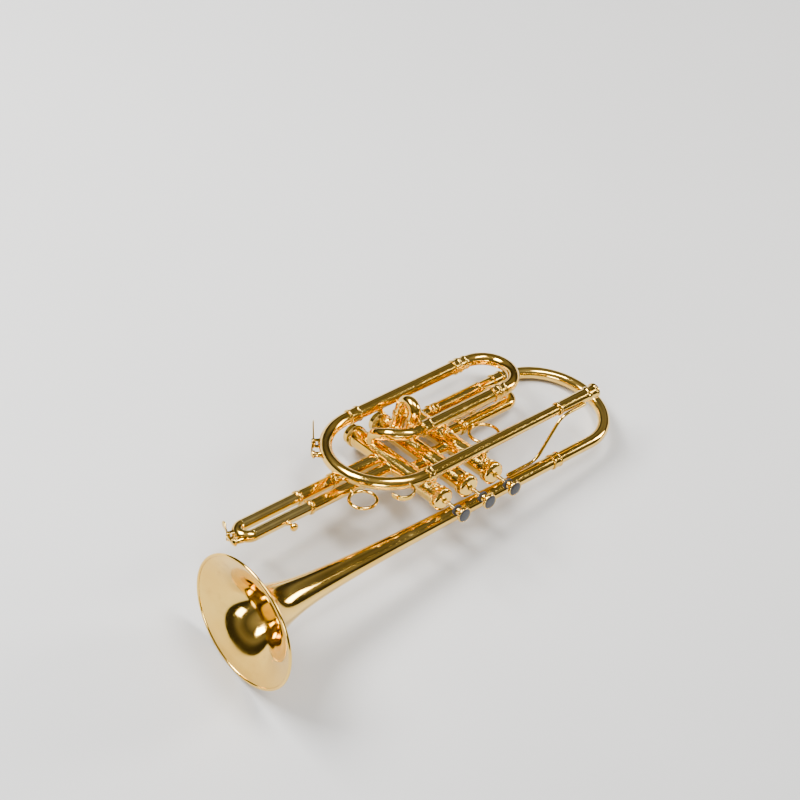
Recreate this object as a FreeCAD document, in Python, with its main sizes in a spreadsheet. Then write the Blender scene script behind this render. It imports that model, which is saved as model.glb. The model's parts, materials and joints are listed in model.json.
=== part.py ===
"""A three-valve flugelhorn in B flat, lying on its left side as it is put down on a table.

Every piece is laid out in the horn's own axes and then tipped, all together, into that position:
  X runs back along the bell, from the bell's mouth towards the mouthpiece,
  Y runs along the valves, from the finger buttons towards the bottom caps,
  Z points to the player's right, which is up when the horn lies on its left side.
The layout's zero point is on the middle valve, level with the leadpipe.  Lengths are millimetres
and angles degrees.
"""

import FreeCAD, Part
import math
import os
import re

import Sketcher
from FreeCAD import Placement, Rotation, Vector

doc = FreeCAD.newDocument("flugelhorn")

# ---------------------------------------------------------------- driving dimensions

DIMENSIONS = {
    # how the layout is tipped and moved into its resting position
    "rest_pitch": 5.7,
    "rest_roll": -19.1,
    "rest_x": 33.24,
    "rest_y": -20.61,
    "rest_z": 51.71,
    # tubing
    "bore": 5.2,
    "wall": 0.45,
    "slip": 0.05,
    "sleeve_wall": 0.5,
    "ferrule_wall": 0.7,
    "ferrule_bead": 0.6,
    # valves
    "pitch": 31.0,
    "casing_bore": 8.6,
    "casing_wall": 1.0,
    "casing_top": -9.0,
    "casing_bottom": 109.0,
    "piston_top": -5.0,
    "piston_bottom": 98.4,
    "deck": 36.0,
    "passage": 4.6,
    "barrel_wall": 1.1,
    "drum_wall": 1.0,
    "vent": 2.5,
    "stroke": 15.0,
    "stem": 2.0,
    "stem_top": -32.8,
    "button": 7.4,
    "button_top": -42.0,
    "button_rim": 3.0,
    "cap": 11.0,
    "cap_top": -15.0,
    "foot": 10.6,
    "foot_bottom": 115.0,
    "felt": 2.4,
    "coil": 5.6,
    "coil_wire": 0.45,
    "coil_turns": 8.0,
    "guide_thickness": 1.6,
    "guide_width": 4.0,
    "key_depth": 0.5,
    # leadpipe, front bow and main tuning slide, which share one height
    "lead_z": 24.5,
    "loop": 108.7,
    "bow_tube": 6.1,
    "bow_bore": 5.5,
    "front_x": -42.4,
    "lead_start": -38.0,
    "lead_end": 141.0,
    "lead_tip": 5.0,
    "receiver_x": 121.0,
    "receiver_end": 171.0,
    "socket": 4.9,
    "socket_depth": 24.0,
    "upper_joint": -34.0,
    "lower_leg": 54.0,
    "lower_joint": 6.0,
    "main_sleeve_end": 97.0,
    "main_leg_start": 28.0,
    "crook_x": 105.0,
    "crook_tube": 6.0,
    "elbow_end": 12.0,
    "elbow_y": 84.0,
    # bell
    "bell_y": -15.0,
    "bell_z": -20.0,
    "mouth_x": -260.7,
    "mouth": 64.0,
    "bell_end": 108.0,
    "bell_wall": 0.6,
    "rim_wire": 1.5,
    "flare": 15.0,
    "throat": 3.9,
    "bell_bow_x": 154.6,
    "bell_bow_small": 44.5,
    "tail_bend_x": 136.0,
    "bell_bow_tube": 5.85,
    "tail_y": 93.5,
    "tail_joint": 134.0,
    "tail_sleeve_start": 56.0,
    "tail_sleeve_end": 111.0,
    "tail_sleeve": 6.6,
    # first slide, behind the first valve
    "first_near": 58.5,
    "first_far": 76.5,
    "first_x": 115.0,
    "first_short": 58.0,
    "first_long": 86.0,
    # second slide, standing up from the second valve
    "second_near": 70.5,
    "second_far": 88.5,
    "second_lean": 14.0,
    "second_top": 29.0,
    "second_sleeve": 23.0,
    # third slide, in front of the third valve
    "third_near": 52.5,
    "third_far": 69.5,
    "third_x": -196.0,
    "third_short": -72.0,
    "third_long": -94.0,
    "third_collar": -131.0,
    "knob_x": -161.0,
    # rings, hook and braces
    "thumb_x": 66.0,
    "thumb_ring": 14.0,
    "finger_x": -88.0,
    "finger_ring": 12.6,
    "ring_wire": 1.6,
    "hook_x": -73.0,
    "hook_y": -4.0,
    "hook": 11.5,
    "hook_band": 5.0,
    "hook_thickness": 2.0,
    "brace": 1.7,
    "flange": 4.0,
    "flange_thickness": 0.9,
    # water keys
    "key_pin": 0.85,
    "key_pin_slip": 0.06,
    "key_height": 4.6,
    "key_drain": 1.4,
    "key_spout": 2.6,
}

dims = doc.addObject("Spreadsheet::Sheet", "Dims")
for row, (name, number) in enumerate(DIMENSIONS.items(), start=1):
    dims.set(f"A{row}", name)
    dims.set(f"B{row}", str(number))
    dims.setAlias(f"B{row}", name)
doc.recompute()

WORD = re.compile(r"\b(" + "|".join(sorted(DIMENSIONS, key=len, reverse=True)) + r")\b")


def bound(text):
    """A formula written in plain dimension names, as an expression on the sheet."""
    return WORD.sub(r"Dims.\1", str(text))


def size(text):
    """The number that such a formula stands for."""
    numbers = WORD.sub(lambda found: repr(DIMENSIONS[found.group(1)]), str(text))
    return float(FreeCAD.Units.Quantity(numbers).Value)


# radii that many pieces share
LEG = "(bore + wall)"
SLEEVE_BORE = "(bore + wall + slip)"
SLEEVE = "(bore + wall + slip + sleeve_wall)"
CASING = "(casing_bore + casing_wall)"
PISTON = "(casing_bore - slip)"

ALONG_X = Rotation(Vector(0, 1, 0), 90)
ALONG_Y = Rotation(Vector(1, 0, 0), -90)
ALONG_Z = Rotation()

parts = []

# ---------------------------------------------------------------- building blocks


def put(item, at, turn=ALONG_Z):
    """Places an object at a point given as three formulas, turned by a fixed rotation."""
    item.Placement = Placement(Vector(), turn)
    for axis, text in zip("xyz", at):
        item.setExpression(f"Placement.Base.{axis}", bound(text))
    return item


def solid(kind, at, turn=ALONG_Z, **sizes):
    item = doc.addObject("Part::" + kind, kind.lower())
    for name, text in sizes.items():
        item.setExpression(name, bound(text))
    return put(item, at, turn)


def rod(at, turn, radius, length):
    """A cylinder that starts at a point and runs along its turned axis."""
    return solid("Cylinder", at, turn, Radius=radius, Height=length)


def along_x(start, end, y, z, radius):
    return rod((start, y, z), ALONG_X, radius, f"({end}) - ({start})")


def along_y(x, start, end, z, radius):
    return rod((x, start, z), ALONG_Y, radius, f"({end}) - ({start})")


def along_z(x, y, start, end, radius):
    return rod((x, y, start), ALONG_Z, radius, f"({end}) - ({start})")


def block(x, y, z):
    """A box between three pairs of formulas."""
    spans = [f"({high}) - ({low})" for low, high in (x, y, z)]
    return solid("Box", (x[0], y[0], z[0]), Length=spans[0], Width=spans[1], Height=spans[2])


def bend(centre, start, sweep, bend_radius, radius):
    """Part of a ring in the XY plane, from a start angle through a sweep."""
    item = solid("Torus", centre, Radius1=bend_radius, Radius2=radius, Angle3=sweep)
    item.setExpression("Placement.Rotation.Yaw", bound(start))
    return item


def join(pieces):
    if not isinstance(pieces, list):
        return pieces
    if len(pieces) == 1:
        return pieces[0]
    item = doc.addObject("Part::MultiFuse", "joined")
    item.Shapes = pieces
    item.Refine = True
    return item


def cut(base, tools):
    item = doc.addObject("Part::Cut", "cut")
    item.Base = join(base)
    item.Tool = join(tools)
    item.Refine = True
    return item


def group(pieces):
    item = doc.addObject("Part::Compound", "group")
    item.Links = pieces
    return item


def shaped(shape):
    """A shape worked out here from the sheet's numbers."""
    item = doc.addObject("Part::Feature", "shape")
    item.Shape = shape
    return item


def part(label, item):
    """Registers a finished piece and tips it with the rest of the horn."""
    if item.TypeId not in ("Part::Cut", "Part::MultiFuse", "Part::Compound"):
        item = group([item])
    item.Label = label
    for name in ("Pitch", "Roll"):
        item.setExpression(f"Placement.Rotation.{name}", f"Dims.rest_{name.lower()}")
    for axis in "xyz":
        item.setExpression(f"Placement.Base.{axis}", f"Dims.rest_{axis}")
    parts.append(item)
    return item


def tube(draw, outer, inner, tools=()):
    """A hollow piece: draw(radius) gives its solids, made once outside and once inside."""
    return cut(join(draw(outer)), draw(inner) + list(tools))


def tube_x(start, end, y, z, outer, inner, tools=()):
    return tube(lambda radius: [along_x(start, end, y, z, radius)], outer, inner, tools)


def turned(outline, axis, at):
    """A body of revolution about X or Y.  The outline's corners are (along, radius) formulas."""
    body = doc.addObject("PartDesign::Body", "turned")
    sketch = body.newObject("Sketcher::SketchObject", "outline")
    plane = next(item for item in body.Origin.OriginFeatures if item.Role == "XY_Plane")
    sketch.AttachmentSupport = [(plane, "")]
    sketch.MapMode = "FlatFace"
    corners = [(along, radius) if axis == "X" else (radius, along) for along, radius in outline]
    points = [Vector(size(x), size(y), 0) for x, y in corners]
    count = len(points)
    for i in range(count):
        sketch.addGeometry(Part.LineSegment(points[i], points[(i + 1) % count]), False)
    for i in range(count):
        sketch.addConstraint(Sketcher.Constraint("Coincident", i, 2, (i + 1) % count, 1))
    for i, (x, y) in enumerate(corners):
        for kind, text, number in (("DistanceX", x, points[i].x), ("DistanceY", y, points[i].y)):
            index = sketch.addConstraint(Sketcher.Constraint(kind, -1, 1, i, 1, number))
            sketch.setExpression(f"Constraints[{index}]", bound(text))
    spin = body.newObject("PartDesign::Revolution", "spin")
    spin.Profile = sketch
    spin.ReferenceAxis = (sketch, ["H_Axis" if axis == "X" else "V_Axis"])
    spin.Angle = 360.0
    body.Tip = spin
    return put(body, at)


def ring_y(x, start, end, inner, outer):
    """A flat ring on a valve's axis."""
    return turned([(start, inner), (start, outer), (end, outer), (end, inner)], "Y", (x, "0", "0"))


def ferrule(start, end, middle, first, second, y, z):
    """A beaded band over the joint of two tubes along X, whose radii may differ."""
    band = f"({second} + ferrule_wall)" if size(second) > size(first) else f"({first} + ferrule_wall)"
    bead = f"({band} + ferrule_bead)"
    outline = [
        (start, first),
        (start, band),
        (f"{start} + 0.4", bead),
        (f"{start} + 1.6", bead),
        (f"{start} + 2.2", band),
        (f"{end} - 2.2", band),
        (f"{end} - 1.6", bead),
        (f"{end} - 0.4", bead),
        (end, band),
        (end, second),
    ]
    if size(first) != size(second):
        outline += [(middle, second), (middle, first)]
    return turned(outline, "X", ("0", y, z))


# ---------------------------------------------------------------- valve casings

VALVES = {1: "pitch", 2: "0", 3: "-pitch"}
CROSSINGS = {(1, 2): "44", (2, 3): "38"}
DRILL = "(casing_bore + 3 * casing_wall)"
LEAN = Rotation(Vector(0, 1, 0), DIMENSIONS["second_lean"])


def leaning(y, start, end, radius):
    """A cylinder on one of the second slide's leaning centre lines."""
    at = (f"({start}) * sin(second_lean * 1 deg)", y, f"({start}) * cos(second_lean * 1 deg)")
    item = rod(at, LEAN, radius, f"({end}) - ({start})")
    item.setExpression("Placement.Rotation.Pitch", "Dims.second_lean")
    return item


def drill(number, y, side):
    """A port's drilling through the back (+1) or the front (-1) of a casing."""
    x = VALVES[number]
    if side > 0:
        return along_x(x, f"{x} + {DRILL}", y, "0", "bore")
    return along_x(f"{x} - {DRILL}", x, y, "0", "bore")


def casing_body(number):
    return along_y(VALVES[number], "casing_top", "casing_bottom", "0", CASING)


def keyway(x):
    """The two grooves inside a casing that hold the valve guide's tabs."""
    half = "(guide_width / 2 + slip)"
    reach = "(casing_bore + key_depth)"
    return block((f"{x} - {half}", f"{x} + {half}"), ("casing_top - 1", "deck"), (f"-{reach}", reach))


PORTS = {
    1: [drill(1, "tail_y", 1), drill(1, "first_near", 1), drill(1, "first_far", 1), drill(1, "44", -1)],
    2: [
        drill(2, "44", 1),
        drill(2, "38", -1),
        leaning("second_near", "0", DRILL, "bore"),
        leaning("second_far", "0", DRILL, "bore"),
    ],
    3: [
        drill(3, "38", 1),
        drill(3, "third_near", -1),
        drill(3, "third_far", -1),
        along_z(VALVES[3], "elbow_y", "0", DRILL, "bore"),
    ],
}

for number, x in VALVES.items():
    inside = along_y(x, "casing_top - 1", "casing_bottom + 1", "0", "casing_bore")
    part(f"valve_casing_{number}", cut(casing_body(number), [inside, keyway(x)] + PORTS[number]))


def crossing(back, front, y):
    pipe = tube_x(VALVES[front], VALVES[back], y, "0", LEG, "bore")
    return cut(pipe, [casing_body(back), casing_body(front)])


part("crossover_tubes", group([crossing(*pair, y) for pair, y in CROSSINGS.items()]))

STEM_HOLE = "(stem + 0.6)"


def top_cap(x):
    """A knurled screw cap with a stepped skirt and a hole for the valve stem."""
    outline = [
        ("cap_top", STEM_HOLE),
        ("cap_top", "cap - 2.4"),
        ("cap_top + 0.5", "cap - 1.0"),
        ("cap_top + 1.6", "cap - 0.2"),
        ("cap_top + 2.2", "cap"),
        ("cap_top + 5.4", "cap"),
        ("cap_top + 6.2", "cap - 0.7"),
        ("cap_top + 7.8", "cap - 0.7"),
        ("cap_top + 8.2", "cap - 0.2"),
        ("cap_top + 9.4", "cap - 0.2"),
        ("cap_top + 9.8", "cap - 0.7"),
        ("cap_top + 9.8", CASING),
        ("casing_top", CASING),
        ("casing_top", "casing_bore - 0.6"),
        ("cap_top + 2.0", "casing_bore - 0.6"),
        ("cap_top + 2.0", STEM_HOLE),
    ]
    return turned(outline, "Y", (x, "0", "0"))


def bottom_cap(x):
    """A domed screw cap with a small turned nub; the piston stops just short of its floor."""
    outline = [
        ("foot_bottom - 1.2", "0"),
        ("foot_bottom - 1.2", "casing_bore"),
        ("casing_bottom", "casing_bore"),
        ("casing_bottom", CASING),
        ("casing_bottom - 4.5", CASING),
        ("casing_bottom - 4.5", "foot - 0.4"),
        ("casing_bottom - 4.0", "foot"),
        ("casing_bottom - 0.4", "foot"),
        ("casing_bottom + 0.2", "foot - 0.5"),
        ("foot_bottom - 1.6", "foot - 0.5"),
        ("foot_bottom - 0.5", "foot - 1.1"),
        ("foot_bottom + 0.4", "foot - 2.8"),
        ("foot_bottom + 1.1", "foot - 5.6"),
        ("foot_bottom + 1.3", "2.6"),
        ("foot_bottom + 2.3", "2.6"),
        ("foot_bottom + 3.0", "1.8"),
        ("foot_bottom + 3.0", "0"),
    ]
    return turned(outline, "Y", (x, "0", "0"))


part("top_valve_caps", group([top_cap(x) for x in VALVES.values()]))
part("bottom_valve_caps", group([bottom_cap(x) for x in VALVES.values()]))

# ---------------------------------------------------------------- valve insides

PASSAGES = {
    1: ["44", "first_near", "first_far", "tail_y"],
    2: ["44", "57", "second_near", "second_far"],
    3: ["44", "third_near + 1.5", "third_far", "elbow_y + 2"],
}
BARREL = "(casing_bore - slip - barrel_wall)"
GUIDE_TOP = "(deck - 1.4 - guide_thickness)"


def piston(number):
    """A slotted spring barrel above a hollow drum, which its air passages cross as tubes."""
    x = VALVES[number]
    reach = "(casing_bore + 1)"

    def passages(radius):
        return [along_x(f"{x} - {reach}", f"{x} + {reach}", y, "0", radius) for y in PASSAGES[number]]

    body = along_y(x, "piston_top", "piston_bottom", "0", PISTON)
    barrel = along_y(x, "piston_top + 1.5", "deck", "0", BARREL)
    inside = cut(
        along_y(x, "deck + drum_wall", "piston_bottom - drum_wall", "0", "casing_bore - slip - drum_wall"),
        passages("passage + drum_wall / 2"),
    )
    vent = along_y(x, "piston_bottom - 2 * drum_wall", "piston_bottom + 1", "0", "vent")
    half = "(guide_width / 2 + 0.3)"
    slot = block((f"{x} - {half}", f"{x} + {half}"), ("deck - stroke - 5", "deck"), (f"-{reach}", reach))
    return cut(body, [barrel, inside, vent, slot] + passages("passage"))


def guide(x):
    """The disc with two tabs that stands in the casing and carries the spring."""
    end = f"{GUIDE_TOP} + guide_thickness"
    disc = along_y(x, GUIDE_TOP, end, "0", f"{BARREL} - 0.3")
    half = "(guide_width / 2)"
    reach = "(casing_bore + key_depth - slip)"
    tabs = block((f"{x} - {half}", f"{x} + {half}"), (GUIDE_TOP, end), (f"-{reach}", reach))
    hole = along_y(x, f"{GUIDE_TOP} - 1", f"{end} + 1", "0", "stem")
    return cut([disc, tabs], hole)


def coil_spring(low, high, radius, wire, turns):
    """A round-wire coil along Z: level half turns, joined by half turns that climb to the next."""
    rise = (high - low) / turns
    climbing = math.hypot(radius, rise / 2)
    slope = math.degrees(math.atan2(rise / 2, radius))
    halves = []
    for i in range(turns + 1):
        at = Vector(0, 0, low + i * rise)
        halves.append(half_ring(radius, wire, Placement(at, Rotation())))
    for i in range(turns):
        at = Vector(0, 0, low + (i + 0.5) * rise)
        turn = Rotation(Vector(0, 1, 0), -slope).multiply(Rotation(Vector(0, 0, 1), 180))
        halves.append(half_ring(climbing, wire, Placement(at, turn)))
    return halves[0].multiFuse(halves[1:])


def half_ring(radius, wire, place):
    ring = Part.makeTorus(radius, wire, Vector(), Vector(0, 0, 1), 0, 360, 180)
    ring.Placement = place
    return ring


def valve_spring(x):
    low = size("piston_top + 1.5 + coil_wire + 0.1")
    high = size(f"{GUIDE_TOP} - coil_wire - 0.1")
    coil = coil_spring(low, high, size("coil"), size("coil_wire"), int(size("coil_turns")))
    coil.Placement = Placement(Vector(size(x), 0, 0), ALONG_Y).multiply(coil.Placement)
    return coil


def button(x):
    outline = [
        ("stem_top", "0"),
        ("stem_top", "3.6"),
        ("stem_top - 1.0", "3.6"),
        ("stem_top - 2.2", "2.9"),
        ("button_top + button_rim + 0.9", "3.4"),
        ("button_top + button_rim", "button - 1.6"),
        ("button_top + button_rim - 0.5", "button - 0.2"),
        ("button_top + button_rim - 1.0", "button"),
        ("button_top + 0.6", "button"),
        ("button_top", "button - 0.4"),
        ("button_top", "button - 1.0"),
        ("button_top + 0.8", "button - 1.0"),
        ("button_top + 0.8", "0"),
    ]
    return turned(outline, "Y", (x, "0", "0"))


def inlay(x):
    outline = [
        ("button_top + 0.8", "0"),
        ("button_top + 0.8", "button - 1.0"),
        ("button_top + 0.1", "button - 1.0"),
        ("button_top - 0.3", "button - 2.4"),
        ("button_top - 0.45", "button - 4.4"),
        ("button_top - 0.5", "0"),
    ]
    return turned(outline, "Y", (x, "0", "0"))


part("valve_guides", group([guide(x) for x in VALVES.values()]))
for number, x in VALVES.items():
    part(f"piston_{number}", piston(number))
    part(f"valve_stem_{number}", along_y(x, "stem_top", "piston_top", "0", "stem"))
    part(f"finger_button_{number}", button(x))
    part(f"button_inlay_{number}", inlay(x))
    part(f"button_felt_{number}", ring_y(x, "stem_top", "stem_top + felt", "stem", "5.2"))
    part(f"valve_spring_{number}", shaped(valve_spring(x)))

# ---------------------------------------------------------------- leadpipe and front bow

RECEIVER_BORE = "(lead_tip + 0.22)"


def leadpipe():
    outline = [
        ("lead_start", "bow_tube"),
        ("lead_end", "lead_tip"),
        ("lead_end", "lead_tip - 0.75"),
        ("lead_start", "bow_bore"),
    ]
    return turned(outline, "X", ("0", "0", "lead_z"))


def receiver():
    """The mouthpiece socket: a straight bore at the back, the leadpipe soldered in at the front."""
    outline = [
        ("receiver_x", RECEIVER_BORE),
        ("receiver_x", "6.2"),
        ("receiver_x + 0.5", "6.7"),
        ("receiver_x + 2.4", "6.7"),
        ("receiver_x + 3.2", "6.0"),
        ("receiver_end - 13", "6.4"),
        ("receiver_end - 12.2", "7.3"),
        ("receiver_end - 9.6", "7.3"),
        ("receiver_end - 8.8", "6.5"),
        ("receiver_end - 3.2", "6.5"),
        ("receiver_end - 2.6", "7.5"),
        ("receiver_end - 0.5", "7.5"),
        ("receiver_end", "7.0"),
        ("receiver_end", "socket"),
        ("receiver_end - socket_depth", "socket"),
        ("receiver_end - socket_depth", "lead_tip - 0.75"),
        ("lead_end", "lead_tip - 0.75"),
        ("lead_end", RECEIVER_BORE),
    ]
    return turned(outline, "X", ("0", "0", "lead_z"))


def front_bow_run(radius):
    return [
        bend(("front_x", "loop / 2", "lead_z"), 90, "180", "loop / 2", radius),
        along_x("front_x", "lead_start", "0", "lead_z", radius),
        along_x("front_x", "upper_joint", "loop", "lead_z", radius),
    ]


part("leadpipe", leadpipe())
part("mouthpiece_receiver", receiver())

# ---------------------------------------------------------------- water keys


def frame_at(origin, u, w):
    """The placement of a water key whose lever runs along u and stands off along w."""
    v = w.cross(u)
    turn = Rotation(u, v, w, "ZXY")
    return Placement(origin, turn)


class WaterKey:
    """A sprung lever on a soldered saddle, whose cork closes a spout on the tube.

    Its own axes are u along the lever, v along the pin and w away from the tube.
    """

    saddle_half = 3.4
    ear_outside = 4.2
    ear_inside = 2.9
    knuckle = 2.1
    arm = 1.5
    cork = 3.0
    cup = 3.8

    def __init__(self, name, place, tube_solid, spout_u, spout_base, thumb_u, thumb_w):
        self.name = name
        self.place = place
        self.tube_solid = tube_solid
        self.spout_u = spout_u
        self.spout_base = spout_base
        self.thumb_u = thumb_u
        self.thumb_w = thumb_w
        self.pin_w = DIMENSIONS["key_height"]

    def box(self, u, v, w):
        return Part.makeBox(u[1] - u[0], v[1] - v[0], w[1] - w[0], Vector(u[0], v[0], w[0]))

    def across(self, radius, start, end):
        """A cylinder on the pin's axis."""
        return Part.makeCylinder(radius, end - start, Vector(0, start, self.pin_w), Vector(0, 1, 0))

    def upright(self, u, radius, low, high):
        return Part.makeCylinder(radius, high - low, Vector(u, 0, low), Vector(0, 0, 1))

    def settled(self, shape):
        """The shape moved from the key's own axes to its place on the horn."""
        shape.Placement = self.place.multiply(shape.Placement)
        return shape

    def mount(self):
        """Saddle, pin and spout, which stay on the tube."""
        pin = DIMENSIONS["key_pin"]
        half, outside, inside = self.saddle_half, self.ear_outside, self.ear_inside
        saddle = self.box((-half, half), (-outside, outside), (-3.0, 1.2))
        for low, high in ((-outside, -inside), (inside, outside)):
            saddle = saddle.fuse(self.box((-half * 0.6, half * 0.6), (low, high), (0.5, self.pin_w)))
            saddle = saddle.fuse(self.across(half * 0.6, low, high))
        saddle = saddle.cut(self.across(pin, -outside - 1, outside + 1)).removeSplitter()
        spout = self.upright(self.spout_u, size("key_spout"), self.spout_base, 2.0)
        drain = self.upright(self.spout_u, size("key_drain"), self.spout_base - 1, 3.0)
        rod_pin = self.across(pin, -outside - 0.3, outside + 0.3)
        fixed = [self.settled(item).cut(self.tube_solid) for item in (saddle, spout.cut(drain))]
        return Part.makeCompound(fixed + [self.settled(rod_pin)])

    def lever(self):
        """The arm with its knuckle, the cup that holds the cork, and the thumb plate."""
        top, height = self.pin_w + 1.0, self.pin_w - 1.0
        front = self.box((self.spout_u, 0), (-self.arm, self.arm), (height, top))
        cup = self.upright(self.spout_u, self.cup, 3.0, top + 0.4)
        slope = Vector(self.thumb_u, 0, self.thumb_w - self.pin_w)
        back = Part.makeBox(slope.Length, 2 * self.arm, 1.8, Vector(0, -self.arm, -0.9))
        tip_pad = Part.makeCylinder(4.4, 1.8, Vector(slope.Length, 0, -0.9), Vector(0, 0, 1))
        back = back.fuse(tip_pad)
        turn = Rotation(Vector(1, 0, 0), slope)
        back.Placement = Placement(Vector(0, 0, self.pin_w), turn).multiply(back.Placement)
        knuckle = self.across(self.knuckle, -1.4, 1.4)
        hole = self.across(size("key_pin + key_pin_slip"), -3, 3)
        whole = front.multiFuse([cup, back, knuckle]).cut(hole).removeSplitter()
        return self.settled(whole)

    def pad(self):
        return self.settled(self.upright(self.spout_u, self.cork, 2.0, 3.0))

    def spring(self):
        """Two or so turns of wire round the pin, beside the knuckle."""
        coil = coil_spring(0.0, 0.6, 1.45, 0.25, 1)
        coil.Placement = Placement(Vector(0, 1.75, self.pin_w), ALONG_Y).multiply(coil.Placement)
        return self.settled(coil)

    def drain_hole(self):
        low = self.spout_base - 2.0
        return self.settled(self.upright(self.spout_u, size("key_drain"), low, 2.0))

    def register(self):
        part(f"{self.name}_mount", shaped(self.mount()))
        part(f"{self.name}_lever", shaped(self.lever()))
        part(f"{self.name}_cork", shaped(self.pad()))
        part(f"{self.name}_spring", shaped(self.spring()))


def ring_solid(centre, bend_radius, radius):
    return Part.makeTorus(bend_radius, radius, centre, Vector(0, 0, 1))


def polar(centre, radius, angle):
    """A point on a circle in the XY plane, and the direction out to it."""
    out = Rotation(Vector(0, 0, 1), angle).multVec(Vector(1, 0, 0))
    return centre + out * radius, out


bow_centre = Vector(size("front_x"), size("loop / 2"), size("lead_z"))
bow_solid = ring_solid(bow_centre, size("loop / 2"), size("bow_tube"))
bow_seat, bow_out = polar(bow_centre, size("loop / 2 + bow_tube"), 137.0)
bow_key = WaterKey(
    "bow_key",
    frame_at(bow_seat, Vector(0, 0, 1).cross(bow_out) * -1, bow_out),
    bow_solid,
    spout_u=-17.0,
    spout_base=-6.0,
    thumb_u=28.0,
    thumb_w=6.5,
)

bow_pipe = tube(front_bow_run, "bow_tube", "bow_bore", [shaped(bow_key.drain_hole())])
part("front_bow", bow_pipe)
bow_key.register()

# ---------------------------------------------------------------- main tuning slide

elbow_path = [
    Vector(size("elbow_end"), size("lower_leg"), size("lead_z")),
    Vector(-8.0, size("lower_leg"), size("lead_z")),
    Vector(-19.5, 60.0, 24.0),
    Vector(-27.5, 71.5, 22.0),
    Vector(size("-pitch"), size("elbow_y"), 13.5),
    Vector(size("-pitch"), size("elbow_y"), 2.0),
]


def swept(path, radius):
    """A round bar along a wire, starting at its first vertex heading along -X."""
    circle = Part.Wire(Part.makeCircle(radius, path.Vertexes[0].Point, Vector(-1, 0, 0)))
    return path.makePipeShell([circle], True, False)


def elbow_wire():
    """Straight out of the lower sleeve, round the corner, and straight down into the casing."""
    curve = Part.BSplineCurve()
    middle = elbow_path[1:5]
    curve.interpolate(Points=middle, InitialTangent=Vector(-1, 0, 0), FinalTangent=Vector(0, 0, -1))
    first = Part.LineSegment(elbow_path[0], elbow_path[1])
    last = Part.LineSegment(elbow_path[4], elbow_path[5])
    return Part.Wire([first.toShape(), curve.toShape(), last.toShape()])


elbow_line = elbow_wire()
elbow_outer = shaped(swept(elbow_line, size(LEG)))
elbow_inner = shaped(swept(elbow_line, size("bore")))
part("entry_elbow", cut(cut(elbow_outer, elbow_inner), casing_body(3)))

main_sleeves = [
    tube_x("upper_joint", "main_sleeve_end", "loop", "lead_z", SLEEVE, SLEEVE_BORE),
    tube_x("lower_joint", "main_sleeve_end", "lower_leg", "lead_z", SLEEVE, SLEEVE_BORE),
]


def end_band(start, end, y, z):
    """A beaded band at the open end of a sleeve."""
    return ferrule(start, end, start, SLEEVE, SLEEVE, y, z)


main_bands = [
    end_band("main_sleeve_end - 8", "main_sleeve_end", "loop", "lead_z"),
    end_band("main_sleeve_end - 8", "main_sleeve_end", "lower_leg", "lead_z"),
    ferrule("lower_joint - 5", "lower_joint + 6", "lower_joint", LEG, SLEEVE, "lower_leg", "lead_z"),
    ferrule("upper_joint - 6", "upper_joint + 6", "upper_joint", "bow_tube", SLEEVE, "loop", "lead_z"),
    ferrule("front_x", "lead_start + 2.6", "lead_start", "bow_tube", "bow_tube", "0", "lead_z"),
]

CROOK_BEND = "((loop - lower_leg) / 2)"
crook_centre = ("crook_x", "(loop + lower_leg) / 2", "lead_z")
crook = tube(lambda radius: [bend(crook_centre, -90, "180", CROOK_BEND, radius)], "crook_tube", "bore")
part("main_slide_crook", crook)
main_legs = [tube_x("main_leg_start", "crook_x", y, "lead_z", LEG, "bore") for y in ("loop", "lower_leg")]
part("main_slide_legs", group(main_legs))


def crook_band(y):
    return tube_x("main_sleeve_end + 0.4", "crook_x", y, "lead_z", "crook_tube + 0.9", LEG)


part("main_slide_ferrules", group([crook_band(y) for y in ("loop", "lower_leg")]))

# ---------------------------------------------------------------- bell

FLARE_STEPS = 26


def bell_radius(x):
    """Outside radius of the bell tube at a distance from its mouth."""
    flare = size("flare")
    return size("throat") + (size("mouth") - size("rim_wire") - size("throat")) * flare / (x + flare)


def bell_profile(offset):
    """The flare from its rim back to the tube, moved inwards by the wall."""
    length = size("bell_end - mouth_x")
    points = []
    for i in range(FLARE_STEPS + 1):
        x = length * (i / FLARE_STEPS) ** 2.4
        slope = (bell_radius(x + 0.01) - bell_radius(x)) / 0.01
        normal = Vector(-slope, 1, 0).normalize()
        points.append(Vector(x, bell_radius(x), 0) - normal * offset)
    curve = Part.BSplineCurve()
    curve.interpolate(points)
    return curve, points


def bell_shell():
    outside, outer_points = bell_profile(0.0)
    inside, inner_points = bell_profile(size("bell_wall"))
    ends = [
        Part.LineSegment(outer_points[0], inner_points[0]).toShape(),
        Part.LineSegment(inner_points[-1], outer_points[-1]).toShape(),
    ]
    face = Part.Face(Part.Wire(Part.__sortEdges__([outside.toShape(), inside.toShape()] + ends)))
    shell = face.revolve(Vector(), Vector(1, 0, 0), 360)
    shell.translate(Vector(size("mouth_x"), size("bell_y"), size("bell_z")))
    return shell


def rim():
    """The wire that the bell's edge is rolled over."""
    at = ("mouth_x", "bell_y", "bell_z")
    return solid("Torus", at, ALONG_X, Radius1="mouth - rim_wire", Radius2="rim_wire")


part("bell", cut(shaped(bell_shell()), rim()))
part("bell_rim", rim())

TAIL_HALF = "sqrt(((tail_y - bell_y) / 2) ^ 2 + (bell_z / 2) ^ 2)"
TAIL_LEAN = "atan(-bell_z / (tail_y - bell_y))"


BEND_STEP = "(bell_bow_x - tail_bend_x)"
BEND_GAP = f"(bell_bow_small - 2 * {TAIL_HALF})"
LARGE = f"((bell_bow_small ^ 2 - {BEND_STEP} ^ 2 - {BEND_GAP} ^ 2) / (2 * {BEND_GAP} + 2 * bell_bow_small))"
MEETING = f"atan(({BEND_GAP} + {LARGE}) / {BEND_STEP})"


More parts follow.
